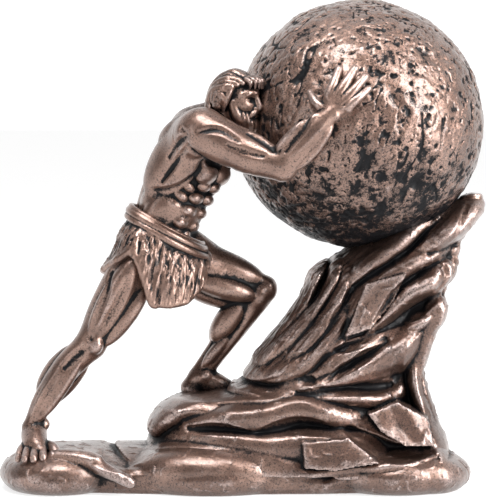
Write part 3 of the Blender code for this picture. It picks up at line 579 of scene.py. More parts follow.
def figure(form):
    torso(form)
    near_leg(form)
    far_leg(form)
    arm(form, SHOULDER_NEAR, ELBOW_NEAR, WRIST_NEAR, NEAR)
    arm(form, SHOULDER_FAR, ELBOW_FAR, WRIST_FAR, FAR)
    hand(form, WRIST_NEAR, NEAR)
    hand(form, WRIST_FAR, FAR)
    for places, radii in FOLDS_OF_SKIN:
        form.score(places, radii)


# The head looks uphill, turned a little to the viewer and bent down.
GAZE = unit((math.cos(math.radians(28)), -math.sin(math.radians(28)), -0.12))
CROWN = unit(Z - GAZE * GAZE[2])
LEFT_EAR = np.cross(CROWN, GAZE)
HEAD_AXES = (GAZE, LEFT_EAR, CROWN)


def skull(forward, left, up):
    return HEAD + GAZE * forward + LEFT_EAR * left + CROWN * up


def head(form):
    form.mass(skull(-1.5, 0, 3), (9.6, 7.6, 8.6), HEAD_AXES, 2)
    form.mass(skull(3.2, 0, -3), (6.6, 5.8, 8.2), HEAD_AXES, 2)
    form.mass(skull(2.6, 0, -1.5), (5, 6, 5.6), HEAD_AXES, 3)
    form.limb([HEAD + at(-2, 1, -6), NECK], [6, 7.2], 2)
    for side in (NEAR, FAR):
        brow = [skull(5.4, side * 5.2, 2.2), skull(7.3, side * 3, 3.3), skull(8.1, 0, 3.1)]
        form.limb(brow, [1.0, 1.3, 1.3], 1.8)
        form.mass(skull(9.1, side * 3.2, 0.7), (1.3, 2.2, 1.0), HEAD_AXES, 1.3, carve=True)
        form.mass(skull(6.6, side * 3.1, 0.6), (1.3, 1.6, 1), HEAD_AXES, 0.4)
        for height, lift in ((0.8, 1.4), (0.2, -0.3)):
            lid = [skull(7.2, side * 1.7, height), skull(7.6, side * 3, lift), skull(6.4, side * 4.5, height)]
            form.limb(lid, [0.3, 0.35, 0.3], 0.25)
        cheek = [skull(7, side * 2.8, -2.2), skull(5.8, side * 4.6, -1.6), skull(3, side * 5.8, -0.8)]
        form.limb(cheek, [1.0, 1.0, 0.8], 2.5)
        form.mass(skull(9.8, side * 1.3, -2.6), (1.1, 1, 0.9), blend=0.5)
        moustache = [skull(10.1, side * 0.4, -3.8), skull(9.8, side * 2.2, -4.6), skull(8.2, side * 4, -6.8)]
        form.limb(moustache, [0.9, 1.2, 0.6], 0.8)
    form.limb([skull(8.2, 0, 3), skull(9.7, 0, 0.6), skull(11, 0, -1.9)], [1.2, 1.25, 1.4], 0.7)
    form.mass(skull(9.8, 0, -5.7), (1.1, 1.7, 0.7), HEAD_AXES, 0.3)
    beard(form)
    hair(form)


BEARD_LOCKS = 13
WHISKERS = 5
SIDE_LOCKS = 9
TEMPLE_LOCKS = 6
FOREHEAD_LOCKS = 7
# Hairline from the middle of the forehead round to the jaw: forward, out to the side, and up.
HAIRLINE = ((8.6, 0, 8), (7.2, 3.6, 7.8), (3.8, 6.4, 6.6), (0.6, 7.8, 3.6), (-0.8, 8.2, -1), (-1.8, 7.8, -5))
HAIR_MIDDLE = (-1.2, 0, 0.8)
HAIR_REACH = (8.8, 9.2, 9.8)
HAIR_LAYERS = ((0, 0), (3, 0.5))


def beard(form):
    drawn = np.random.default_rng(4)
    for side in (NEAR, FAR):
        jaw = [skull(2, side * 6.6, -1), skull(4.6, side * 5.6, -6.5), skull(7.4, side * 2.6, -10)]
        form.limb(jaw, [1.6, 2.1, 2.1], 0.8)
        for i in range(WHISKERS):
            share = i / (WHISKERS - 1)
            root = skull(1 + 6.4 * share, side * (7 - 2.8 * share), -0.5 - 4 * share)
            tip = root + skull(1.5, side * -1.2, -7) - HEAD + LEFT_EAR * drawn.uniform(-0.5, 0.5)
            bend = between(root, tip, 0.5) + GAZE * 0.8 + LEFT_EAR * (side * 0.8)
            form.limb([root, bend, tip], [0.6, 0.95, 0.4], 0.15)
    for i in range(BEARD_LOCKS):
        across = 2 * i / (BEARD_LOCKS - 1) - 1
        root = skull(9.2 - 5.6 * across**2, 5.2 * across, -6.3 + 2.4 * across**2)
        reach, sway = drawn.uniform(-0.5, 0.5), drawn.uniform(-0.5, 0.5)
        tip = skull(8.6 - 2.2 * across**2 + reach, 2.9 * across + sway, -14.8 + 3.4 * across**2)
        bend = between(root, tip, 0.5) + GAZE * 1.5 + LEFT_EAR * (1.2 * across)
        form.limb([root, bend, tip], [1.0, 1.25, 0.5], 0.2)


def hair_place(forward, out, up):
    """A place on the mass of the hair, in a direction from its middle."""
    direction = unit((forward, out, up))
    return skull(*(np.array(HAIR_MIDDLE) + direction * HAIR_REACH))


def hair(form):
    """Long locks swept back from the hairline, over a hood of hair, down to flaring ends at the nape."""
    drawn = np.random.default_rng(9)
    form.mass(skull(*HAIR_MIDDLE), np.array(HAIR_REACH) - 1.9, HEAD_AXES, 0.6)
    line = smooth_path(HAIRLINE, [1] * len(HAIRLINE), 8)[:, :3]
    for side in (NEAR, FAR):
        for back, shift in HAIR_LAYERS:
            for i in range(SIDE_LOCKS):
                share = (i + shift) / SIDE_LOCKS
                forward, out, up = line[int(share * (len(line) - 1))]
                turn = 0.06 + 1.95 * share
                wave = drawn.uniform(-0.12, 0.12, 4)
                thick = 1.5 + 3 * wave[3]
                root = skull(forward - back, side * out, up)
                ahead = 0.75 - 0.9 * share - 0.1 * back
                lift = hair_place(ahead, side * math.sin(turn), math.cos(turn) + wave[1])
                top = hair_place(-0.1 - 0.05 * back, side * math.sin(turn), math.cos(turn) + wave[0])
                nape = hair_place(-0.85, side * (0.75 * math.sin(turn) + wave[1]), 0.4 * math.cos(turn) - 0.1)
                low = 6.5 + 20 * wave[2] + 2 * (i % 2)
                end = skull(-12.8 + 5.4 * share - 1.2 * (i % 2), side * (1 + 7 * share), -low)
                form.limb([root, lift, top, nape, end], [1.0, thick, thick, thick, 0.6], 0.1)
        for i in range(TEMPLE_LOCKS):
            ahead = 0.45 - 0.3 * i
            lock = [hair_place(ahead - 0.5 * t, side, 0.75 - 1.5 * t) for t in (0, 0.33, 0.67, 1)]
            form.limb(lock, [0.7, 1.35, 1.3, 0.5], 0.1)
    for i in range(FOREHEAD_LOCKS):
        across = 2 * i / (FOREHEAD_LOCKS - 1) - 1
        root = skull(6, 4.4 * across, 9.6 - 0.8 * across**2)
        bend = skull(10.4 - 2.2 * across**2, 4.8 * across, 9 - across**2)
        tip = skull(10.6 - 2.6 * across**2, 5 * across + 0.8, 5.6)
        form.limb([root, bend, tip], [1.1, 0.95, 0.4], 0.1)


# Loincloth: a rolled waist that dips to the front, and cloth that falls to a hem in degrees round it.
WAIST = at(-31.2, -10, 105.1)
WAIST_TURN = math.radians(42)
WAIST_FRONT = at(math.cos(WAIST_TURN), -math.sin(WAIST_TURN), 0)
WAIST_LEFT = at(math.sin(WAIST_TURN), math.cos(WAIST_TURN), 0)
WAIST_DEPTH = 12.4
WAIST_WIDTH = 16.2
WAIST_DIP = 0.56
HEM = (
    (-180, at(-52, -1, 87.9)),
    (-150, at(-56.5, -7, 88.9)),
    (-128, at(-57, -16, 90.3)),
    (-98, at(-51, -26, 95.3)),
    (-74, at(-44.5, -29.5, 99.6)),
    (-62, at(-40.5, -30, 89.8)),
    (-52, at(-37.5, -28.5, 77.8)),
    (-25, at(-30, -26, 76.8)),
    (5, at(-23.5, -22, 77.8)),
    (28, at(-17.5, -15.5, 83.3)),
    (48, at(-15, -9, 93.3)),
    (90, at(-14, 10, 92.8)),
    (130, at(-34, 13, 88.8)),
    (155, at(-45, 9, 87.8)),
    (180, at(-52, -1, 87.9)),
)
FOLDS = 80
WAIST_STEPS = 60
# Rolls round the waist: how far out and up each lies, and its radius.
WAIST_ROLLS = ((0.9, 1.2, 1.8), (1.7, -1.5, 1.6), (0.4, 3.2, 1.1))


def waist(degrees, outward):
    turn = math.radians(degrees)
    ahead = WAIST_FRONT * ((WAIST_DEPTH + outward) * math.cos(turn))
    place = WAIST + ahead + WAIST_LEFT * ((WAIST_WIDTH + outward) * math.sin(turn))
    return place - Z * (WAIST_DIP * (place[0] - WAIST[0]))


def loincloth(form):
    hips = (unit((0.91, 0, 0.41)), Y, unit((-0.41, 0, 0.91)))
    form.mass(at(-39.5, -9, 97.5), (13, 15.4, 9.8), hips, 3)
    form.mass(at(-44, -17, 95), (7.2, 7.8, 8.6), blend=2)
    form.mass(at(-44, 3, 96.3), (9, 8.5, 9.5), blend=2)
    form.mass(at(-37.5, -19, 101.5), (10, 9.6, 8.8), blend=2)
    drawn = np.random.default_rng(7)
    for i in range(FOLDS):
        degrees = 360 * i / FOLDS - 180
        top = waist(degrees, -1.2)
        low = table_value(HEM, degrees)
        out = unit((top - WAIST) * at(1, 1, 0))
        sway = np.cross(Z, out) * drawn.uniform(-0.6, 0.6)
        swell, rise = drawn.uniform(-0.3, 0.5, 2)
        tuck = 2.4 * math.exp(-(((degrees + 140) / 40) ** 2))
        high = between(top, low, 0.33) + out * (1.6 + swell - tuck * 0.5) - sway
        middle = between(top, low, 0.7) + out * (1.3 + rise - tuck) + sway
        thick = 1.1 + 0.35 * drawn.random()
        form.limb([top, high, middle, low + out * 0.4], [thick, thick + 0.3, thick + 0.3, thick], 0.9)
    hem = [table_value(HEM, degrees) for degrees in range(-180, 181, 10)]
    form.limb(hem, [1.6] * len(hem), 0.5)
    around = [360 * step / WAIST_STEPS - 180 for step in range(WAIST_STEPS + 1)]
    for outward, rise, radius in WAIST_ROLLS:
        roll = [waist(degrees, outward) + Z * rise for degrees in around]
        form.limb(roll, [radius] * len(roll), 0.25, steps=1)


# The crag under the boulder, as level sections of height, left, right and half depth.
CRAG_SECTIONS = (
    (8, -45, 86, 39),
    (16, -42, 83, 36),
    (22, -40, 79, 33),
    (28, -36, 73.5, 31),
    (33, -30, 71, 29.5),
    (36.5, -22, 69.8, 28),
    (39, -4, 69.3, 27.5),
    (44, -1.5, 68.8, 27),
    (54, 4.5, 69, 25),
    (62, 12.5, 71.5, 24),
    (70, 20.2, 76.5, 23),
    (78, 25.4, 81, 22),
    (88, 29.5, 82, 21),
    (94, 37, 82, 20.5),
    (99, 44, 84.5, 20),
    (104, 51, 90, 18),
    (109, 62, 95, 15),
    (113, 72, 99.5, 12),
    (116.5, 84, 99.5, 8),
    (118.5, 90, 98, 4),
)
CRAG_POWER = 2.6
BASE_POWER = 2.8
BASE_SHIFT = 4.5
BASE_HALF_LENGTH = 95
BASE_HALF_DEPTH = 41
BASE_EDGE = ((-3, 3.5), (0, 2.4), (0.22, 0.4), (0.45, 0), (0.72, 0.6), (0.9, 2.5), (1, 6))


def stack(form, sections, power, blend):
    """Level sections, each (height, left, right, half depth), as rounded blocks one on another."""
    heights, lefts, rights, depths = np.array(sections, float).T

    def distance(x, y, z):
        left, right = np.interp(z, heights, lefts), np.interp(z, heights, rights)
        depth = np.interp(z, heights, depths)
        half_width = (right - left) / 2
        across = np.abs(x - (left + right) / 2) / half_width
        share = (across**power + (np.abs(y) / depth) ** power) ** (1 / power)
        side = (share - 1) * np.minimum(depth, half_width)
        return np.maximum(side, np.maximum(z - heights[-1] - 0.5, heights[0] - z - 0.5))

    low = at(lefts.min(), -depths.max(), heights[0])
    high = at(rights.max(), depths.max(), heights[-1])
    form.put(low, high, distance, blend)


def crag_section(z):
    """Left, right and half depth of the crag at height z."""
    return table_value([(section[0], at(*section[1:])) for section in CRAG_SECTIONS], z)


# Flows of rock on the near side, each run from its upper right end to its lower left end:
# places across and up, height of the crest, and how far it reaches above and below.
FLOWS = (
    # The tongue that holds the boulder.
    (((95, 118), (88, 110), (80, 103.5), (72.5, 95.5)), (2, 4.5, 5, 1), (5, 7, 7, 4), (6, 7.5, 6, 4)),
    # The two long ridges under it.
    (((80, 114), (71.5, 110), (65, 104), (57, 96.5), (48.5, 90), (41, 81)),
     (1, 4, 4.5, 4, 3.5, 1), (2, 4, 5, 5, 4, 3), (3, 5.5, 5.5, 5, 4.5, 3)),
    (((85, 98), (72, 94), (62, 90), (52.5, 84.5), (47, 76), (42, 65.5)),
     (2, 4, 4.2, 4.5, 4.5, 1.5), (3, 5, 5, 5, 5, 3), (5, 4, 8, 9, 8, 4)),
    # The lump on the right, and the lip under its hollow.
    (((84, 89), (76, 84.5), (66.5, 79), (57, 70.5), (51, 65)),
     (4, 5.5, 5, 3.5, 1), (7, 6.5, 6, 4, 2), (5, 5, 5, 3.5, 2)),
    (((82, 74), (75, 69.5), (66, 65.5), (55, 62.5), (41, 61)),
     (3, 4.5, 3, 2.5, 1), (5, 3, 3, 2.5, 2), (9, 7, 4, 3, 3)),
    # The leaf below, its upper sheet, and the lip of the undercut.
    (((74, 66), (67, 60.5), (59, 56), (48, 50.5), (36, 45.5), (23, 42.5)),
     (3, 5.5, 5.5, 5, 3.5, 1), (6, 6, 5.5, 4.5, 3.5, 2), (9, 11, 9, 6, 3.5, 2)),
    (((60, 63), (52, 59.5), (40, 54), (28, 46.5)), (2.5, 4, 3.5, 1), (4, 5, 5, 3), (3, 4, 4, 2)),
    # The column that ends the crag on the right.
    (((74, 66), (72, 56), (72, 44), (75, 31), (79, 18)),
     (3, 4, 4.5, 4.5, 3), (7, 5, 4.5, 4, 5), (8, 8, 8, 8, 8)),
    # Strands down the left slope.
    (((34.5, 96), (30.5, 89), (26.5, 79), (18.5, 69), (6, 57)),
     (2, 3.5, 3, 2.5, 1), (5, 5, 5, 5, 4), (3, 3, 3.5, 3.5, 3)),
    (((38.5, 93), (36, 85), (30, 76), (20.5, 64), (7, 53)),
     (1.5, 3, 3.5, 3, 1), (3, 2.5, 3, 4, 4), (3, 3, 3, 4, 3)),
    (((43, 90), (40.5, 81.5), (35, 72), (26.5, 61.5), (13, 50)),
     (1.5, 3.5, 3.5, 3.5, 1), (3, 3.5, 4, 4, 3), (3, 3, 3, 4, 3)),
    (((45, 79), (41, 71), (33.5, 60.5), (22, 50.5), (10, 46)),
     (1, 3, 3.5, 3, 1), (3, 3.5, 4, 4, 3), (3, 3, 4, 4, 3)),
    (((39, 61), (29, 56), (17, 50), (2, 45)), (2, 3, 3, 1), (3, 4, 4, 3), (3, 3, 3, 2)),
    # The terrace: its rim, the lump that ends it on the left, and the flows below it.
    (((65, 41), (56, 37.5), (44, 39.5), (31, 41), (21.5, 43), (12, 39), (-4, 40), (-19, 37.5)),
     (1, 3, 3.5, 3, 3, 3, 3, 2), (3, 3, 3, 4, 4, 4, 4, 3), (4, 4, 4, 4, 4, 4, 4, 4)),
    (((-13, 36), (-22, 37), (-31, 33), (-37, 26)), (2, 4, 4.5, 3), (5, 6, 6, 5), (6, 7, 7, 5)),
    (((45, 31), (34, 34), (22.5, 37), (9, 34), (-6, 32), (-23, 27.5)),
     (1.5, 4.5, 4.5, 4.5, 4, 1.5), (3, 4, 4, 4, 4, 3), (4, 7, 8, 9, 7, 4)),
    (((60, 14.5), (52, 20.5), (43, 23), (30, 24), (12, 22), (-6, 23), (-24, 23)),
     (1, 3, 4, 4, 3.5, 3, 1), (2, 3, 3, 3, 3, 3, 3), (3, 7, 9, 9, 7, 6, 4)),
    (((80, 17), (66, 15), (52, 13), (38, 11), (26, 9)),
     (2.5, 3.5, 3.5, 3, 1), (3, 3, 3, 3, 2), (4, 4, 4, 3, 2)),
    # Crests along the base's rim.
    (((21, 12), (7, 17), (-14, 18.5), (-34, 16), (-47, 8)),
     (1, 2.2, 2.5, 2.5, 1), (3, 3, 3, 3, 2), (8, 9, 9, 9, 6)),
    (((92, 9), (79, 14), (62, 14.5), (46, 11), (34, 4)), (1, 2, 2.2, 2, 1), (4, 3, 3, 3, 2), (8, 9, 9, 7, 4)),
    (((-49, 8), (-60, 14), (-76, 16), (-94, 12)), (1, 2, 2, 1), (3, 3, 3, 4), (6, 8, 8, 8)),
)
# Hollows cut into the flows: places, depth, and half width.
HOLLOWS = (
    (((90, 119), (78, 108), (66, 97.5), (55, 90), (45, 84)), (1, 3, 3.5, 3, 1.5), (0.7, 1, 1.1, 1.1, 0.8)),
    (((92, 116), (86, 103), (76, 97)), (1.5, 2, 1.5), (0.9, 1.2, 0.9)),
    (((83, 91), (72, 88.5), (63, 83), (58, 76), (54, 70)), (2, 2.5, 2.5, 2.5, 1.5), (1, 1.3, 1.3, 1.2, 0.8)),
    (((77.5, 79), (70.5, 75.5), (63, 70.5), (55, 66)), (3.5, 4, 3, 2), (3.6, 3.8, 2.6, 1.2)),
    (((66, 67), (56, 63.5), (47, 60.5), (38, 58)), (2.5, 3, 3, 2), (1.2, 1.6, 1.6, 1)),
    (((58, 62), (49.5, 56), (41, 50), (33.5, 45.5)), (2.5, 4, 3.5, 1), (1.3, 1.8, 1.4, 0.7)),
    (((22, 41), (36, 41.5), (50, 42.5), (60, 43)), (2, 3.5, 4, 2), (1, 1.8, 2, 1.4)),
    (((64, 55), (63.5, 48), (62.5, 40)), (1.5, 3.2, 1.5), (1.6, 2.4, 1.6)),
    (((-22, 26), (-10, 26.5), (2, 25.5)), (1.5, 3, 1), (1, 1.8, 0.8)),
    (((6, 25), (18, 28), (29, 27.5), (39, 24.5)), (1.5, 4, 4, 1.5), (1, 2.4, 2.4, 1)),
    (((43, 26), (53, 20.5), (64, 16.5), (78, 17.5)), (3, 5, 4.5, 2), (1.4, 2.4, 2.2, 1.2)),
    (((34, 88), (31, 82), (27, 73)), (1.5, 2, 1), (1.2, 1.5, 0.8)),
    (((28, 46), (14, 42), (-2, 43)), (2, 3, 2), (1.4, 2, 1.4)),
    (((-60, 14), (-54, 13.5), (-48, 11.5)), (1.5, 3.5, 2), (1, 2, 1.2)),
)
# Flat facets: corners across and up, and how far out each stands.
FACETS = (
    ((67, 90, 7), (50, 85.5, 8.5), (41.5, 64, 6), (52, 67, 6), (61, 78, 6.5)),
    ((50.7, 33, 8), (63, 37.5, 9), (75.5, 30.5, 9.5), (77.7, 20, 9), (66, 20, 9.5), (56, 26, 9)),
    ((24, 22, 7), (43, 23.5, 8), (55, 14.5, 7.5), (37, 11, 7), (25, 12, 6.5)),
)
# The far side's relief is lower, and the near side's gives way to it between two depths.
FAR_RELIEF = 0.6
RELIEF_DEPTHS = (-8, 8)
# How far the whole relief sinks, how much of it stays under a facet, and how far from the crag's
# right edge the hollows begin and over what distance they reach their depth.
RELIEF_SINK = 1.4
FACET_UNDER = 0.6
EDGE_MARGIN, EDGE_FADE = 3, 7
FLOW_RISE, FLOW_REACH = 1.35, 1.12
HOLLOW_DEPTH, HOLLOW_REACH = 0.75, 1.5
PATH_STEPS = 5
# Ridges that run down the uphill side, by depth: top height and foot height.
UPHILL_RIDGES = (
    (-14, 92, 50),
    (-5, 104, 62),
    (6, 98, 44),
    (14, 86, 52),
    (-10, 60, 24),
    (3, 50, 20),
    (13, 56, 24),
)


def path_profile(x, z, path):
    """Rises from 0 to the height of a crest that runs along a path, over its reach on each side."""
    best = np.zeros(np.broadcast(x, z).shape)
    for first, last in zip(path, path[1:]):
        (ax, az), (bx, bz) = first[:2], last[:2]
        ex, ez = bx - ax, bz - az
        t = np.clip(((x - ax) * ex + (z - az) * ez) / (ex * ex + ez * ez + 1e-9), 0, 1)
        px, pz = x - ax - t * ex, z - az - t * ez
        height, above, below = [first[k] + (last[k] - first[k]) * t for k in (2, 3, 4)]
        reach = np.where(ex * pz - ez * px < 0, above, below)
        best = np.maximum(best, height * (1 - (px * px + pz * pz) / reach**2))
    return best


def rock_face(x, z):
    """How far the near side of the rock stands out, over the XZ plane."""
    raised = np.zeros(np.broadcast(x, z).shape)
    for places, heights, above, below in FLOWS:
        sizes = np.array((heights, above, below)) * ((FLOW_RISE,), (FLOW_REACH,), (FLOW_REACH,))
        path = smooth_path(places, sizes.T, PATH_STEPS)
        raised = smooth_max(raised, path_profile(x, z, path), 0.5)
    for corners in FACETS:
        corners = np.array(corners, float)
        rows = np.column_stack([corners[:, :2], np.ones(len(corners))])
        flat, *_ = np.linalg.lstsq(rows, corners[:, 2], rcond=None)
        inside = outline_distance(x, z, corners[:, :2])
        plane = flat[0] * x + flat[1] * z + flat[2]
        raised = np.where(inside < 0, smooth_max(raised * FACET_UNDER, plane, 1), raised)
    cut = RELIEF_SINK
    for places, depths, widths in HOLLOWS:
        sizes = np.array((depths, widths, widths)) * ((HOLLOW_DEPTH,), (HOLLOW_REACH,), (HOLLOW_REACH,))
        path = smooth_path(places, sizes.T, PATH_STEPS)
        cut = cut + path_profile(x, z, path)
    heights, _, rights, _ = np.array(CRAG_SECTIONS, float).T
    inside = np.clip((np.interp(z, heights, rights) - x - EDGE_MARGIN) / EDGE_FADE, 0, 1)
    return raised - cut * inside


def crag_body(form):
    stack(form, CRAG_SECTIONS, CRAG_POWER, 2)
    for depth, top, foot in UPHILL_RIDGES:
        levels = (top, (top + foot) / 2, foot)
        spine = [at(crag_section(z)[1] - 1, depth, z) for z in levels]
        form.limb(spine, (1.5, 3.5, 1.5), 1)
    form.emboss(rock_face)


# Swellings of the base's rim: place along it and radii.
SWELLINGS = (
    # Near rim, from left to right, and the ground under the near foot.
    (at(-76, -13, 6), at(25.5, 30.5, 11.5)),
    (at(-13, -19, 6.5), at(35, 25, 12.5)),
    (at(31, -15, 4), at(16, 21.5, 8.5)),
    (at(63, -12, 5.5), at(30, 31, 11)),
    (at(-84, -23, 8.5), at(13, 15, 6)),
    (at(-45, -2, 8), at(42, 27, 9.5)),
    # Far rim.
    (at(-40, 16, 4.5), at(40, 25, 8)),
    (at(36, 18, 6), at(42, 24, 10)),
)
BLOCK_INSET = 4
BLOCK_TOP = 11


# A tongue of ground that folds down between the near pillows: places and radii.
TONGUE = (
    (at(-76, -31, 15.5), 3),
    (at(-63, -34, 15), 3.8),
    (at(-54, -37, 10.5), 3.6),
    (at(-45.5, -38, 5), 2.2),
)


def base(form):
    sections = []
    for share, inset in BASE_EDGE:
        half_length = BASE_HALF_LENGTH - inset - BLOCK_INSET / 2
        height = share * BLOCK_TOP if share > 0 else share
        left, right = -half_length - BASE_SHIFT, half_length - BASE_SHIFT
        sections.append((height, left, right, BASE_HALF_DEPTH - inset - BLOCK_INSET))
    stack(form, sections, BASE_POWER, 0)
    for centre, radii in SWELLINGS:
        form.mass(centre, radii, blend=1.2)
    form.limb([place for place, _ in TONGUE], [radius for _, radius in TONGUE], 1)
    form.emboss(rock_face)
    form.trim(0)


def rock(form):
    crag_body(form)
    base(form)


# The way that the fibres run down the crag's left slope.
SLOPE = at(-0.63, 0, -0.78)


def rock_relief(points):
    """How far the rock's skin stands out: long fibres down the slope, and a light grain."""
    slope = np.clip((points[:, 2] - 40) / 12, 0, 1) * np.clip((62 - points[:, 0]) / 25, 0.15, 1)
    fibres = noise(stretched(points, SLOPE, 10), 1.5, 21) + 0.7 * noise(stretched(points, SLOPE, 8), 0.9, 22)
    lumps = noise(points, 6, 23) * 0.18 + noise(points, 2, 24) * 0.06
    cut = creases(points, 5, 0.12, 25) * 0.35 + pits(points, 3.2, 26) * 0.15
    return (0.42 * slope * fibres + lumps - cut) * np.clip(points[:, 2] / 1.5, 0, 1)


def cloth_relief(points):
    """Grain like bark down the cloth, which leaves its rolled waist and its rims smooth."""
    fall = stretched(points, at(0.25, -0.1, 1), 9)
    under = WAIST[2] - WAIST_DIP * (points[:, 0] - WAIST[0]) - points[:, 2]
    rims = smooth_path([place for _, place in HEM], [1] * len(HEM), PATH_STEPS)[:, :3]
    gap = np.min([np.linalg.norm(points - rim, axis=1) for rim in rims], axis=0)
    share = np.clip((under - 3.2) / 1.2, 0, 1) * np.clip((gap - 1.4) / 0.8, 0, 1)
    grain = 0.32 * noise(fall, 1.3, 31) + 0.26 * noise(fall, 0.75, 32)
    return share * (grain - 0.3 * creases(fall, 2, 0.13, 33))


def skin_relief(points):
    return 0.08 * noise(points, 4, 41) + 0.04 * noise(points, 1.5, 42)


def hair_relief(points):
    return 0.05 * noise(points, 0.8, 51)


# Dents and bumps of the boulder: across and up from its middle, half length, half width, turn in
# degrees, and depth.
DENTS = (
    (22.8, -21.6, 8, 4.5, 55, 1.6),
    (3, 24, 14, 6, -35, 1.2),
    (12, 14, 9, 4, -60, 1),
    (2, -11, 9, 4, 70, 1.1),
    (8, -17, 6, 3, 60, 1),
    (-27, -33, 16, 2.5, 40, 0.8),
    (-20, -40, 14, 2, 35, 0.8),
    (-33, -25, 12, 2, 50, 0.7),
    (26, 30, 8, 4, -30, 1),
    (-22, 22, 9, 5, 30, 0.8),
)
BUMPS = (
    (4.5, -7, 11, 2.4, 65, 1.1),
    (10, -3, 10, 2.6, 60, 1),
    (-4, -2, 14, 3, 75, 0.8),
    (15, -12, 9, 2.4, 55, 0.8),
)
STROKES = at(0.3, 0.1, 1)
PITTED_SIDE = (0.55, -0.7, 0.5)
# Depth of the deepest hollow and height of the sharpest edge in the boulder's skin.
BOULDER_HOLLOW, BOULDER_EDGE = 0.75, 0.5


def boulder_swell(places):
    """How far the boulder's broad swells and dents stand out from a ball."""
    swell = 0.7 * noise(places, 24, 61) + 0.45 * noise(places, 10, 62)
    for sign, rows in ((-1, DENTS), (1, BUMPS)):
        for x, z, half_length, half_width, turn, depth in rows:
            middle = unit(on_boulder(x, z, 0, NEAR) - BOULDER)
            along = at(math.cos(math.radians(turn)), 0, math.sin(math.radians(turn)))
            side = unit(along - middle * (along @ middle))
            swell += sign * depth * oval(places, middle, side, half_length, half_width)
    return swell


def boulder_skin(places):
    """Pits, creases and strokes in the boulder's skin, the pits denser uphill and towards the viewer."""
    strokes = stretched(places, STROKES, 2.5)
    relief = 0.26 * noise(places, 4, 63) + 0.2 * noise(places, 1.8, 64) + 0.12 * noise(strokes, 1.1, 70)
    relief -= 0.5 * pits(places, 5, 65) + 0.4 * pits(places, 2.6, 66)
    relief -= 0.55 * creases(strokes, 6, 0.09, 67) + 0.5 * creases(strokes, 3, 0.14, 69)
    facing = np.clip(places @ unit(PITTED_SIDE) / BOULDER_RADIUS * 2.4 - 1.2, 0, 1)
    return relief - 0.9 * facing * pits(places, 4.2, 71)


def oval(places, middle, side, half_length, half_width):
    """1 in the middle of an oval on the boulder and 0 at its rim."""
    other = np.cross(middle, side)
    share = (places @ side / half_length) ** 2 + (places @ other / half_width) ** 2
    return np.where(places @ middle > 0, np.maximum(1 - share, 0) ** 2, 0)


def solid_share(form):
    """The share of each cell that is solid."""
    return np.clip(0.5 - form.grid / form.step, 0, 1)


def normals_of(points, quads):
    across = points[quads[:, 2]] - points[quads[:, 0]]
    along = points[quads[:, 3]] - points[quads[:, 1]]
    faces = np.cross(across, along)
    total = np.zeros_like(points)
    for axis in range(3):
        weights = np.repeat(faces[:, axis], 4)
        total[:, axis] = np.bincount(quads.ravel(), weights=weights, minlength=len(points))
    return total / (np.linalg.norm(total, axis=1)[:, None] + 1e-9)


def add_mesh(name, points, faces):
    mesh = bpy.data.meshes.new(name)
    sides = faces.shape[1]
    mesh.vertices.add(len(points))
    mesh.vertices.foreach_set("co", (points * UNIT).astype(np.float32).ravel())
    mesh.loops.add(faces.size)
    mesh.polygons.add(len(faces))
    mesh.loops.foreach_set("vertex_index", faces.astype(np.int32).ravel())
    mesh.polygons.foreach_set("loop_start", np.arange(0, faces.size, sides, dtype=np.int32))
    mesh.update(calc_edges=True)
    mesh.validate()
    made = bpy.data.objects.new(name, mesh)
    bpy.context.scene.collection.objects.link(made)
    return made


def thin_out(piece):
    """Keeps a piece under the most triangles, with the detail where the surface bends."""
    triangles = sum(len(face.vertices) - 2 for face in piece.data.polygons)
    if triangles > MOST_TRIANGLES:
        fewer = piece.modifiers.new("fewer", "DECIMATE")
        fewer.ratio = MOST_TRIANGLES / triangles
        graph = bpy.context.evaluated_depsgraph_get()
        mesh = bpy.data.meshes.new_from_object(piece.evaluated_get(graph))
        piece.modifiers.clear()
        piece.data = mesh
    piece.data.shade_smooth()


def set_values(piece, name, values):
    layer = piece.data.attributes.new(name, "FLOAT", "POINT")
    layer.data.foreach_set("value", np.asarray(values, np.float32))


def places_of(piece):
    points = np.empty(len(piece.data.vertices) * 3, np.float32)
    piece.data.vertices.foreach_get("co", points)
    return points.reshape(-1, 3).astype(float) / UNIT


# Hollows of two widths: half the width in cells, how much solid round a place marks one, and its weight.
HOLLOW_SCALES = ((2, 0.2, 0.8), (6, 0.24, 0.8))
RELIEF_DEPTH = 0.5
RELIEF_EDGE = 0.5


def weather_and_shade(piece, form, relief, whole, whole_share):
    """Marks how hollow and how sharp the surface is, for the patina to follow, and painted shade where it is
    crowded, faces down or lies near the floor.
    """
    points = places_of(piece)
    mark_painted_shade(piece, points, whole, whole_share)
    sunk = -relief(points) / RELIEF_DEPTH
    hollow, edge = np.maximum(sunk, 0), np.maximum(-sunk, 0) * RELIEF_EDGE
    for cells, most, weight in HOLLOW_SCALES:
        solid = (read_grid(blurred(solid_share(form), cells), form.low, form.step, points) - 0.5) / most
        hollow = hollow + weight * np.clip(solid, 0, 1)
        edge = edge + weight * np.clip(-solid, 0, 1)
    set_values(piece, "hollow", np.clip(hollow, 0, 1))
    set_values(piece, "edge", np.clip(edge, 0, 1))


# Painted shade, laid on with the dark wash: darker where other forms stand close round a place, on faces
# turned down, and near the floor. A place is open where about half of what lies round it is solid, and
# crowded where CROWDED_SPAN more is.
WIDE_CELLS = 4
OPEN_SHARE, CROWDED_SPAN = 0.5, 0.24
UNDERSIDE_SHADE = 0.7
FLOOR_SHADE, FLOOR_SHADE_HEIGHT = 1.5, 13


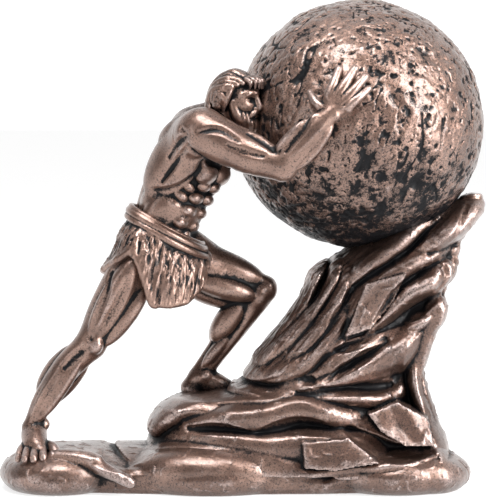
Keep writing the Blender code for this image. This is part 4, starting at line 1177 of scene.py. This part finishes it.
def mark_painted_shade(piece, points, whole, whole_share):
    """Marks painted shade where places are crowded by other forms, face down, or lie near the floor."""
    wide = read_grid(whole_share, whole.low, whole.step, points)
    normals = np.empty(len(points) * 3, np.float32)
    piece.data.vertex_normals.foreach_get("vector", normals)
    crowded = np.clip((wide - OPEN_SHARE) / CROWDED_SPAN, 0, 1)
    # Painted shade on faces that turn down, and on places near the floor.
    under = UNDERSIDE_SHADE * np.clip(-normals[2::3], 0, 1)
    low = FLOOR_SHADE * np.clip(1 - points[:, 2] / FLOOR_SHADE_HEIGHT, 0, 1)
    set_values(piece, "painted_shade", crowded + under + low)


def carved_piece(name, carve, low, high, step, relief, material, whole, whole_share):
    """A piece of the casting carved on its own fine grid."""
    form = Form(low, high, step)
    carve(form)
    points, quads = form.surface()
    normals = normals_of(points, quads)
    points = points + normals * relief(points)[:, None]
    piece = add_mesh(name, points, quads)
    thin_out(piece)
    weather_and_shade(piece, form, relief, whole, whole_share)
    dress(piece, material)
    return piece


def boulder_piece(material, whole, whole_share):
    shell = bmesh.new()
    bmesh.ops.create_icosphere(shell, subdivisions=8, radius=1)
    directions = np.array([vert.co for vert in shell.verts], float)
    directions /= np.linalg.norm(directions, axis=1)[:, None]
    faces = np.array([[vert.index for vert in face.verts] for face in shell.faces])
    shell.free()
    places = directions * BOULDER_RADIUS
    uphill = np.maximum(directions[:, 0], 0) ** 2
    reach = BOULDER_RADIUS + boulder_swell(places) + boulder_skin(places) + uphill
    piece = add_mesh("boulder", BOULDER + directions * reach[:, None], faces)
    thin_out(piece)
    points = places_of(piece)
    outward = points - BOULDER
    skin = boulder_skin(outward * (BOULDER_RADIUS / np.linalg.norm(outward, axis=1))[:, None])
    # Painted shade on the boulder where it is crowded by other forms, faces down or lies near the floor.
    mark_painted_shade(piece, points, whole, whole_share)
    set_values(piece, "hollow", np.clip(-skin / BOULDER_HOLLOW, 0, 1))
    set_values(piece, "edge", np.clip(skin / BOULDER_EDGE, 0, 1))
    dress(piece, material)
    return piece


def dress(piece, material):
    piece.data.materials.clear()
    piece.data.materials.append(material)
    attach(piece, "root")
    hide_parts("statue")


# Colours of the cold-cast bronze, and of the dark wash that is left in its hollows; the brown copper and the
# dark wash also stand for painted shade where places are crowded, face down or lie near the floor.
COPPER = (0.28, 0.172, 0.132, 1)
BROWN_COPPER_AND_SHADE = (0.14, 0.08, 0.06, 1)
WORN_COPPER = (0.55, 0.44, 0.41, 1)
DARK_WASH_AND_SHADE = (0.005, 0.005, 0.006, 1)
GRIT = (0.04, 0.027, 0.023, 1)
WASH_START = 1.06


class Nodes:
    """Short ways to add shader nodes to a material."""

    def __init__(self, name):
        self.material = bpy.data.materials.new(name)
        self.material.use_nodes = True
        self.tree = self.material.node_tree
        self.shader = self.tree.nodes["Principled BSDF"]
        self.places = self.tree.nodes.new("ShaderNodeTexCoord").outputs["Object"]

    def link(self, source, target):
        self.tree.links.new(source, target)

    def noise(self, size, detail=3, roughness=0.6, stretch=None):
        """Noise with lumps of a size in units, from 0 to 1."""
        place = self.places
        if stretch:
            turn = self.tree.nodes.new("ShaderNodeMapping")
            turn.inputs["Scale"].default_value = stretch
            self.link(place, turn.inputs["Vector"])
            place = turn.outputs["Vector"]
        node = self.tree.nodes.new("ShaderNodeTexNoise")
        node.inputs["Scale"].default_value = 1 / (size * UNIT)
        node.inputs["Detail"].default_value = detail
        node.inputs["Roughness"].default_value = roughness
        self.link(place, node.inputs["Vector"])
        return node.outputs["Fac"]

    def value(self, name):
        node = self.tree.nodes.new("ShaderNodeAttribute")
        node.attribute_name = name
        return node.outputs["Fac"]

    def math(self, operation, *terms):
        node = self.tree.nodes.new("ShaderNodeMath")
        node.operation = operation
        for socket, term in zip(node.inputs, terms):
            if isinstance(term, (int, float)):
                socket.default_value = term
            else:
                self.link(term, socket)
        return node.outputs["Value"]

    def total(self, *rows):
        """The sum of each (source, weight)."""
        result = 0.0
        for source, weight in rows:
            result = self.math("MULTIPLY_ADD", source, weight, result)
        return result

    def step(self, source, low, high):
        """0 below low, 1 above high, and smooth between them."""
        node = self.tree.nodes.new("ShaderNodeMapRange")
        node.interpolation_type = "SMOOTHSTEP"
        node.inputs["From Min"].default_value = low
        node.inputs["From Max"].default_value = high
        self.link(source, node.inputs["Value"])
        return node.outputs["Result"]

    def span(self, source, low, high):
        """A share from 0 to 1 turned into a value from low to high."""
        node = self.tree.nodes.new("ShaderNodeMapRange")
        node.inputs["To Min"].default_value = low
        node.inputs["To Max"].default_value = high
        self.link(source, node.inputs["Value"])
        return node.outputs["Result"]

    def mix(self, share, first, second):
        node = self.tree.nodes.new("ShaderNodeMix")
        node.data_type = "RGBA"
        self.link(share, node.inputs["Factor"])
        for name, colour in (("A", first), ("B", second)):
            socket = next(s for s in node.inputs if s.name == name and s.type == "RGBA")
            if isinstance(colour, tuple):
                socket.default_value = colour
            else:
                self.link(colour, socket)
        return next(s for s in node.outputs if s.type == "RGBA")

    def bump(self, height, depth, strength):
        node = self.tree.nodes.new("ShaderNodeBump")
        node.inputs["Distance"].default_value = depth * UNIT
        node.inputs["Strength"].default_value = strength
        self.link(height, node.inputs["Height"])
        self.link(node.outputs["Normal"], self.shader.inputs["Normal"])


def bronze(name, wash, softness, hollow, painted_shade, worn, marks, grit_start, grain_depth, stretch=None):
    """Bronze with a dark wash, which gathers in hollows and breaks up into specks and smears, and which also
    paints shade where places are crowded by other forms, face down or lie near the floor.

    wash is how much of it there is, and softness how softly it ends. hollow is how much hollows add to it,
    and crowd how much the painted shade adds to it. worn is how bright the edges are rubbed, marks the size
    of the specks in units, grit_start where the grain turns dark, and grain_depth how deep it is.
    """
    nodes = Nodes(name)
    patches = nodes.noise(14, 4)
    # Painted shade: the copper turns brown where places are crowded, face down or lie near the floor, as well
    # as in random patches.
    patches_and_shade = nodes.total((nodes.value("painted_shade"), -0.25), (patches, 1.0))
    tone = nodes.mix(nodes.step(patches_and_shade, 0.2, 0.62), BROWN_COPPER_AND_SHADE, COPPER)
    rubbed = nodes.total((nodes.value("edge"), worn), (nodes.noise(1.2, 3), 0.6))
    tone = nodes.mix(nodes.step(rubbed, 0.55, 1.25), tone, WORN_COPPER)
    grit = nodes.noise(0.7, 3, 0.75)
    tone = nodes.mix(nodes.step(grit, grit_start, grit_start + 0.18), tone, GRIT)
    # The dark wash: patina in hollows, random specks and smears, and painted shade where places are crowded,
    # face down or lie near the floor.
    wash_and_shade = nodes.total(
        (nodes.noise(marks, 6, 0.75, stretch), 1.0),
        (nodes.noise(marks * 5, 3), 0.15),
        (grit, 0.45),
        (nodes.value("hollow"), hollow),
        (nodes.value("painted_shade"), painted_shade),
        (nodes.value("edge"), -0.3),
    )
    dark = nodes.step(wash_and_shade, WASH_START - wash, WASH_START - wash + softness)
    nodes.link(nodes.mix(dark, tone, DARK_WASH_AND_SHADE), nodes.shader.inputs["Base Color"])
    nodes.link(nodes.span(dark, 0.9, 0.0), nodes.shader.inputs["Metallic"])
    sheen = nodes.total((nodes.noise(5, 4), 0.25), (grit, 0.3), (dark, 0.3))
    nodes.link(nodes.span(sheen, 0.26, 0.66), nodes.shader.inputs["Roughness"])
    nodes.link(nodes.span(dark, 0.9, 0.1), nodes.shader.inputs["Coat Weight"])
    height = nodes.total((grit, 1.0), (nodes.noise(1.3, 3), 0.8), (dark, -0.5))
    nodes.bump(height, grain_depth, 0.7)
    nodes.shader.inputs["Specular IOR Level"].default_value = 0.1
    nodes.shader.inputs["Coat Roughness"].default_value = 0.28
    return nodes.material


def pale_floor():
    nodes = Nodes("floor")
    nodes.shader.inputs["Base Color"].default_value = FLOOR_COLOUR
    nodes.shader.inputs["Roughness"].default_value = 0.9
    nodes.shader.inputs["Emission Color"].default_value = FLOOR_GLOW_COLOUR
    nodes.shader.inputs["Emission Strength"].default_value = FLOOR_GLOW
    return nodes.material


CAMERA_DISTANCE = 1.3
CAMERA_RISE = math.radians(5)
CAMERA_AIM = Vector((0, 0, 0.09703))
FRAME_METRES = 0.2076
SENSOR = 36


def add_camera():
    """A long lens a little above the statue, square to its near side."""
    data = bpy.data.cameras.new("camera")
    data.sensor_width = SENSOR
    data.lens = SENSOR * CAMERA_DISTANCE / FRAME_METRES
    camera = bpy.data.objects.new("camera", data)
    back = Vector((0, -math.cos(CAMERA_RISE), math.sin(CAMERA_RISE)))
    camera.location = CAMERA_AIM + back * CAMERA_DISTANCE
    camera.rotation_euler = (-back).to_track_quat("-Z", "Y").to_euler()
    bpy.context.scene.collection.objects.link(camera)
    bpy.context.scene.camera = camera


LAMPS = (
    # Name, place, width, height, watts.
    ("right softbox", (0.9, -0.5, 0.5), 0.4, 1.2, 25),
    ("top softbox", (-0.1, -0.3, 0.9), 0.5, 0.4, 10),
    ("left softbox", (-0.9, -0.7, 0.35), 0.4, 0.9, 3),
    ("front fill", (0, -1.5, 0.6), 1.0, 0.6, 1),
)
LAMP_TARGET = Vector((0, 0, 0.1))
WORLD_COLOUR = (1, 1, 1, 1)
# The studio is dimmer in front of the statue than behind it.
WORLD_STRENGTHS = (0.1, 1.2)
WORLD_DEPTHS = (0, 0.6)
FLOOR_COLOUR = (0.35, 0.35, 0.35, 1)
FLOOR_GLOW_COLOUR = (1, 1, 1, 1)
FLOOR_GLOW = 0.75
FLOOR_HALF_WIDTH = 3


def add_studio():
    for name, place, width, height, watts in LAMPS:
        data = bpy.data.lights.new(name, "AREA")
        data.shape = "RECTANGLE"
        data.size = width
        data.size_y = height
        data.energy = watts
        lamp = bpy.data.objects.new(name, data)
        lamp.location = place
        lamp.rotation_euler = (LAMP_TARGET - lamp.location).to_track_quat("-Z", "Y").to_euler()
        bpy.context.scene.collection.objects.link(lamp)
    world = bpy.data.worlds.new("studio")
    world.use_nodes = True
    tree = world.node_tree
    background = tree.nodes["Background"]
    background.inputs["Color"].default_value = WORLD_COLOUR
    directions = tree.nodes.new("ShaderNodeSeparateXYZ")
    tree.links.new(tree.nodes.new("ShaderNodeTexCoord").outputs["Generated"], directions.inputs["Vector"])
    depth = tree.nodes.new("ShaderNodeMapRange")
    for socket, value in zip(("From Min", "From Max", "To Min", "To Max"), (*WORLD_DEPTHS, *WORLD_STRENGTHS)):
        depth.inputs[socket].default_value = value
    tree.links.new(directions.outputs["Y"], depth.inputs["Value"])
    tree.links.new(depth.outputs["Result"], background.inputs["Strength"])
    bpy.context.scene.world = world
    shell = bmesh.new()
    bmesh.ops.create_grid(shell, x_segments=1, y_segments=1, size=FLOOR_HALF_WIDTH)
    mesh = bpy.data.meshes.new("floor")
    shell.to_mesh(mesh)
    shell.free()
    floor = bpy.data.objects.new("floor", mesh)
    bpy.context.scene.collection.objects.link(floor)
    mesh.materials.append(pale_floor())
    bpy.context.scene.view_settings.view_transform = "Standard"


def whole_statue():
    """The whole casting on a coarse grid, which tells how crowded a place is, for painted shade."""
    whole = Form((-106, -62, -6), (108, 62, 206), WHOLE_GRID)
    for carve in (figure, head, loincloth, rock):
        carve(whole)
    whole.mass(BOULDER, (BOULDER_RADIUS,) * 3, blend=0)
    return whole, blurred(solid_share(whole), WIDE_CELLS)


def main():
    skin = bronze(
        "skin_bronze", wash=0.22, softness=0.36, hollow=0.9, painted_shade=0.4, worn=0.5,
        marks=0.9, grit_start=0.5, grain_depth=0.12,
    )
    cloth = bronze(
        "cloth_bronze", wash=0.24, softness=0.36, hollow=0.9, painted_shade=0.3, worn=0.2,
        marks=0.8, grit_start=0.52, grain_depth=0.12, stretch=(1, 1, 0.35),
    )
    stone = bronze(
        "stone_bronze", wash=0.13, softness=0.46, hollow=0.55, painted_shade=0.16, worn=0.6,
        marks=1.0, grit_start=0.48, grain_depth=0.16,
    )
    pitted = bronze(
        "boulder_bronze", wash=0.16, softness=0.28, hollow=0.8, painted_shade=0.6, worn=0.7,
        marks=0.8, grit_start=0.45, grain_depth=0.25,
    )
    whole, share = whole_statue()
    pieces = (
        ("figure", figure, (-98, -60, 8), (58, 62, 182), FIGURE_GRID, skin_relief, skin),
        ("head", head, (-20, -42, 138), (16, -8, 182), HEAD_GRID, hair_relief, skin),
        ("loincloth", loincloth, (-64, -38, 70), (-6, 24, 122), CLOTH_GRID, cloth_relief, cloth),
        ("crag", crag_body, (-52, -48, 4), (108, 48, 124), CRAG_GRID, rock_relief, stone),
        ("base", base, (-108, -60, -8), (100, 60, 30), BASE_GRID, rock_relief, stone),
    )
    for name, carve, low, high, step, relief, material in pieces:
        carved_piece(name, carve, low, high, step, relief, material, whole, share)
    boulder_piece(pitted, whole, share)
    add_camera()
    add_studio()


main()
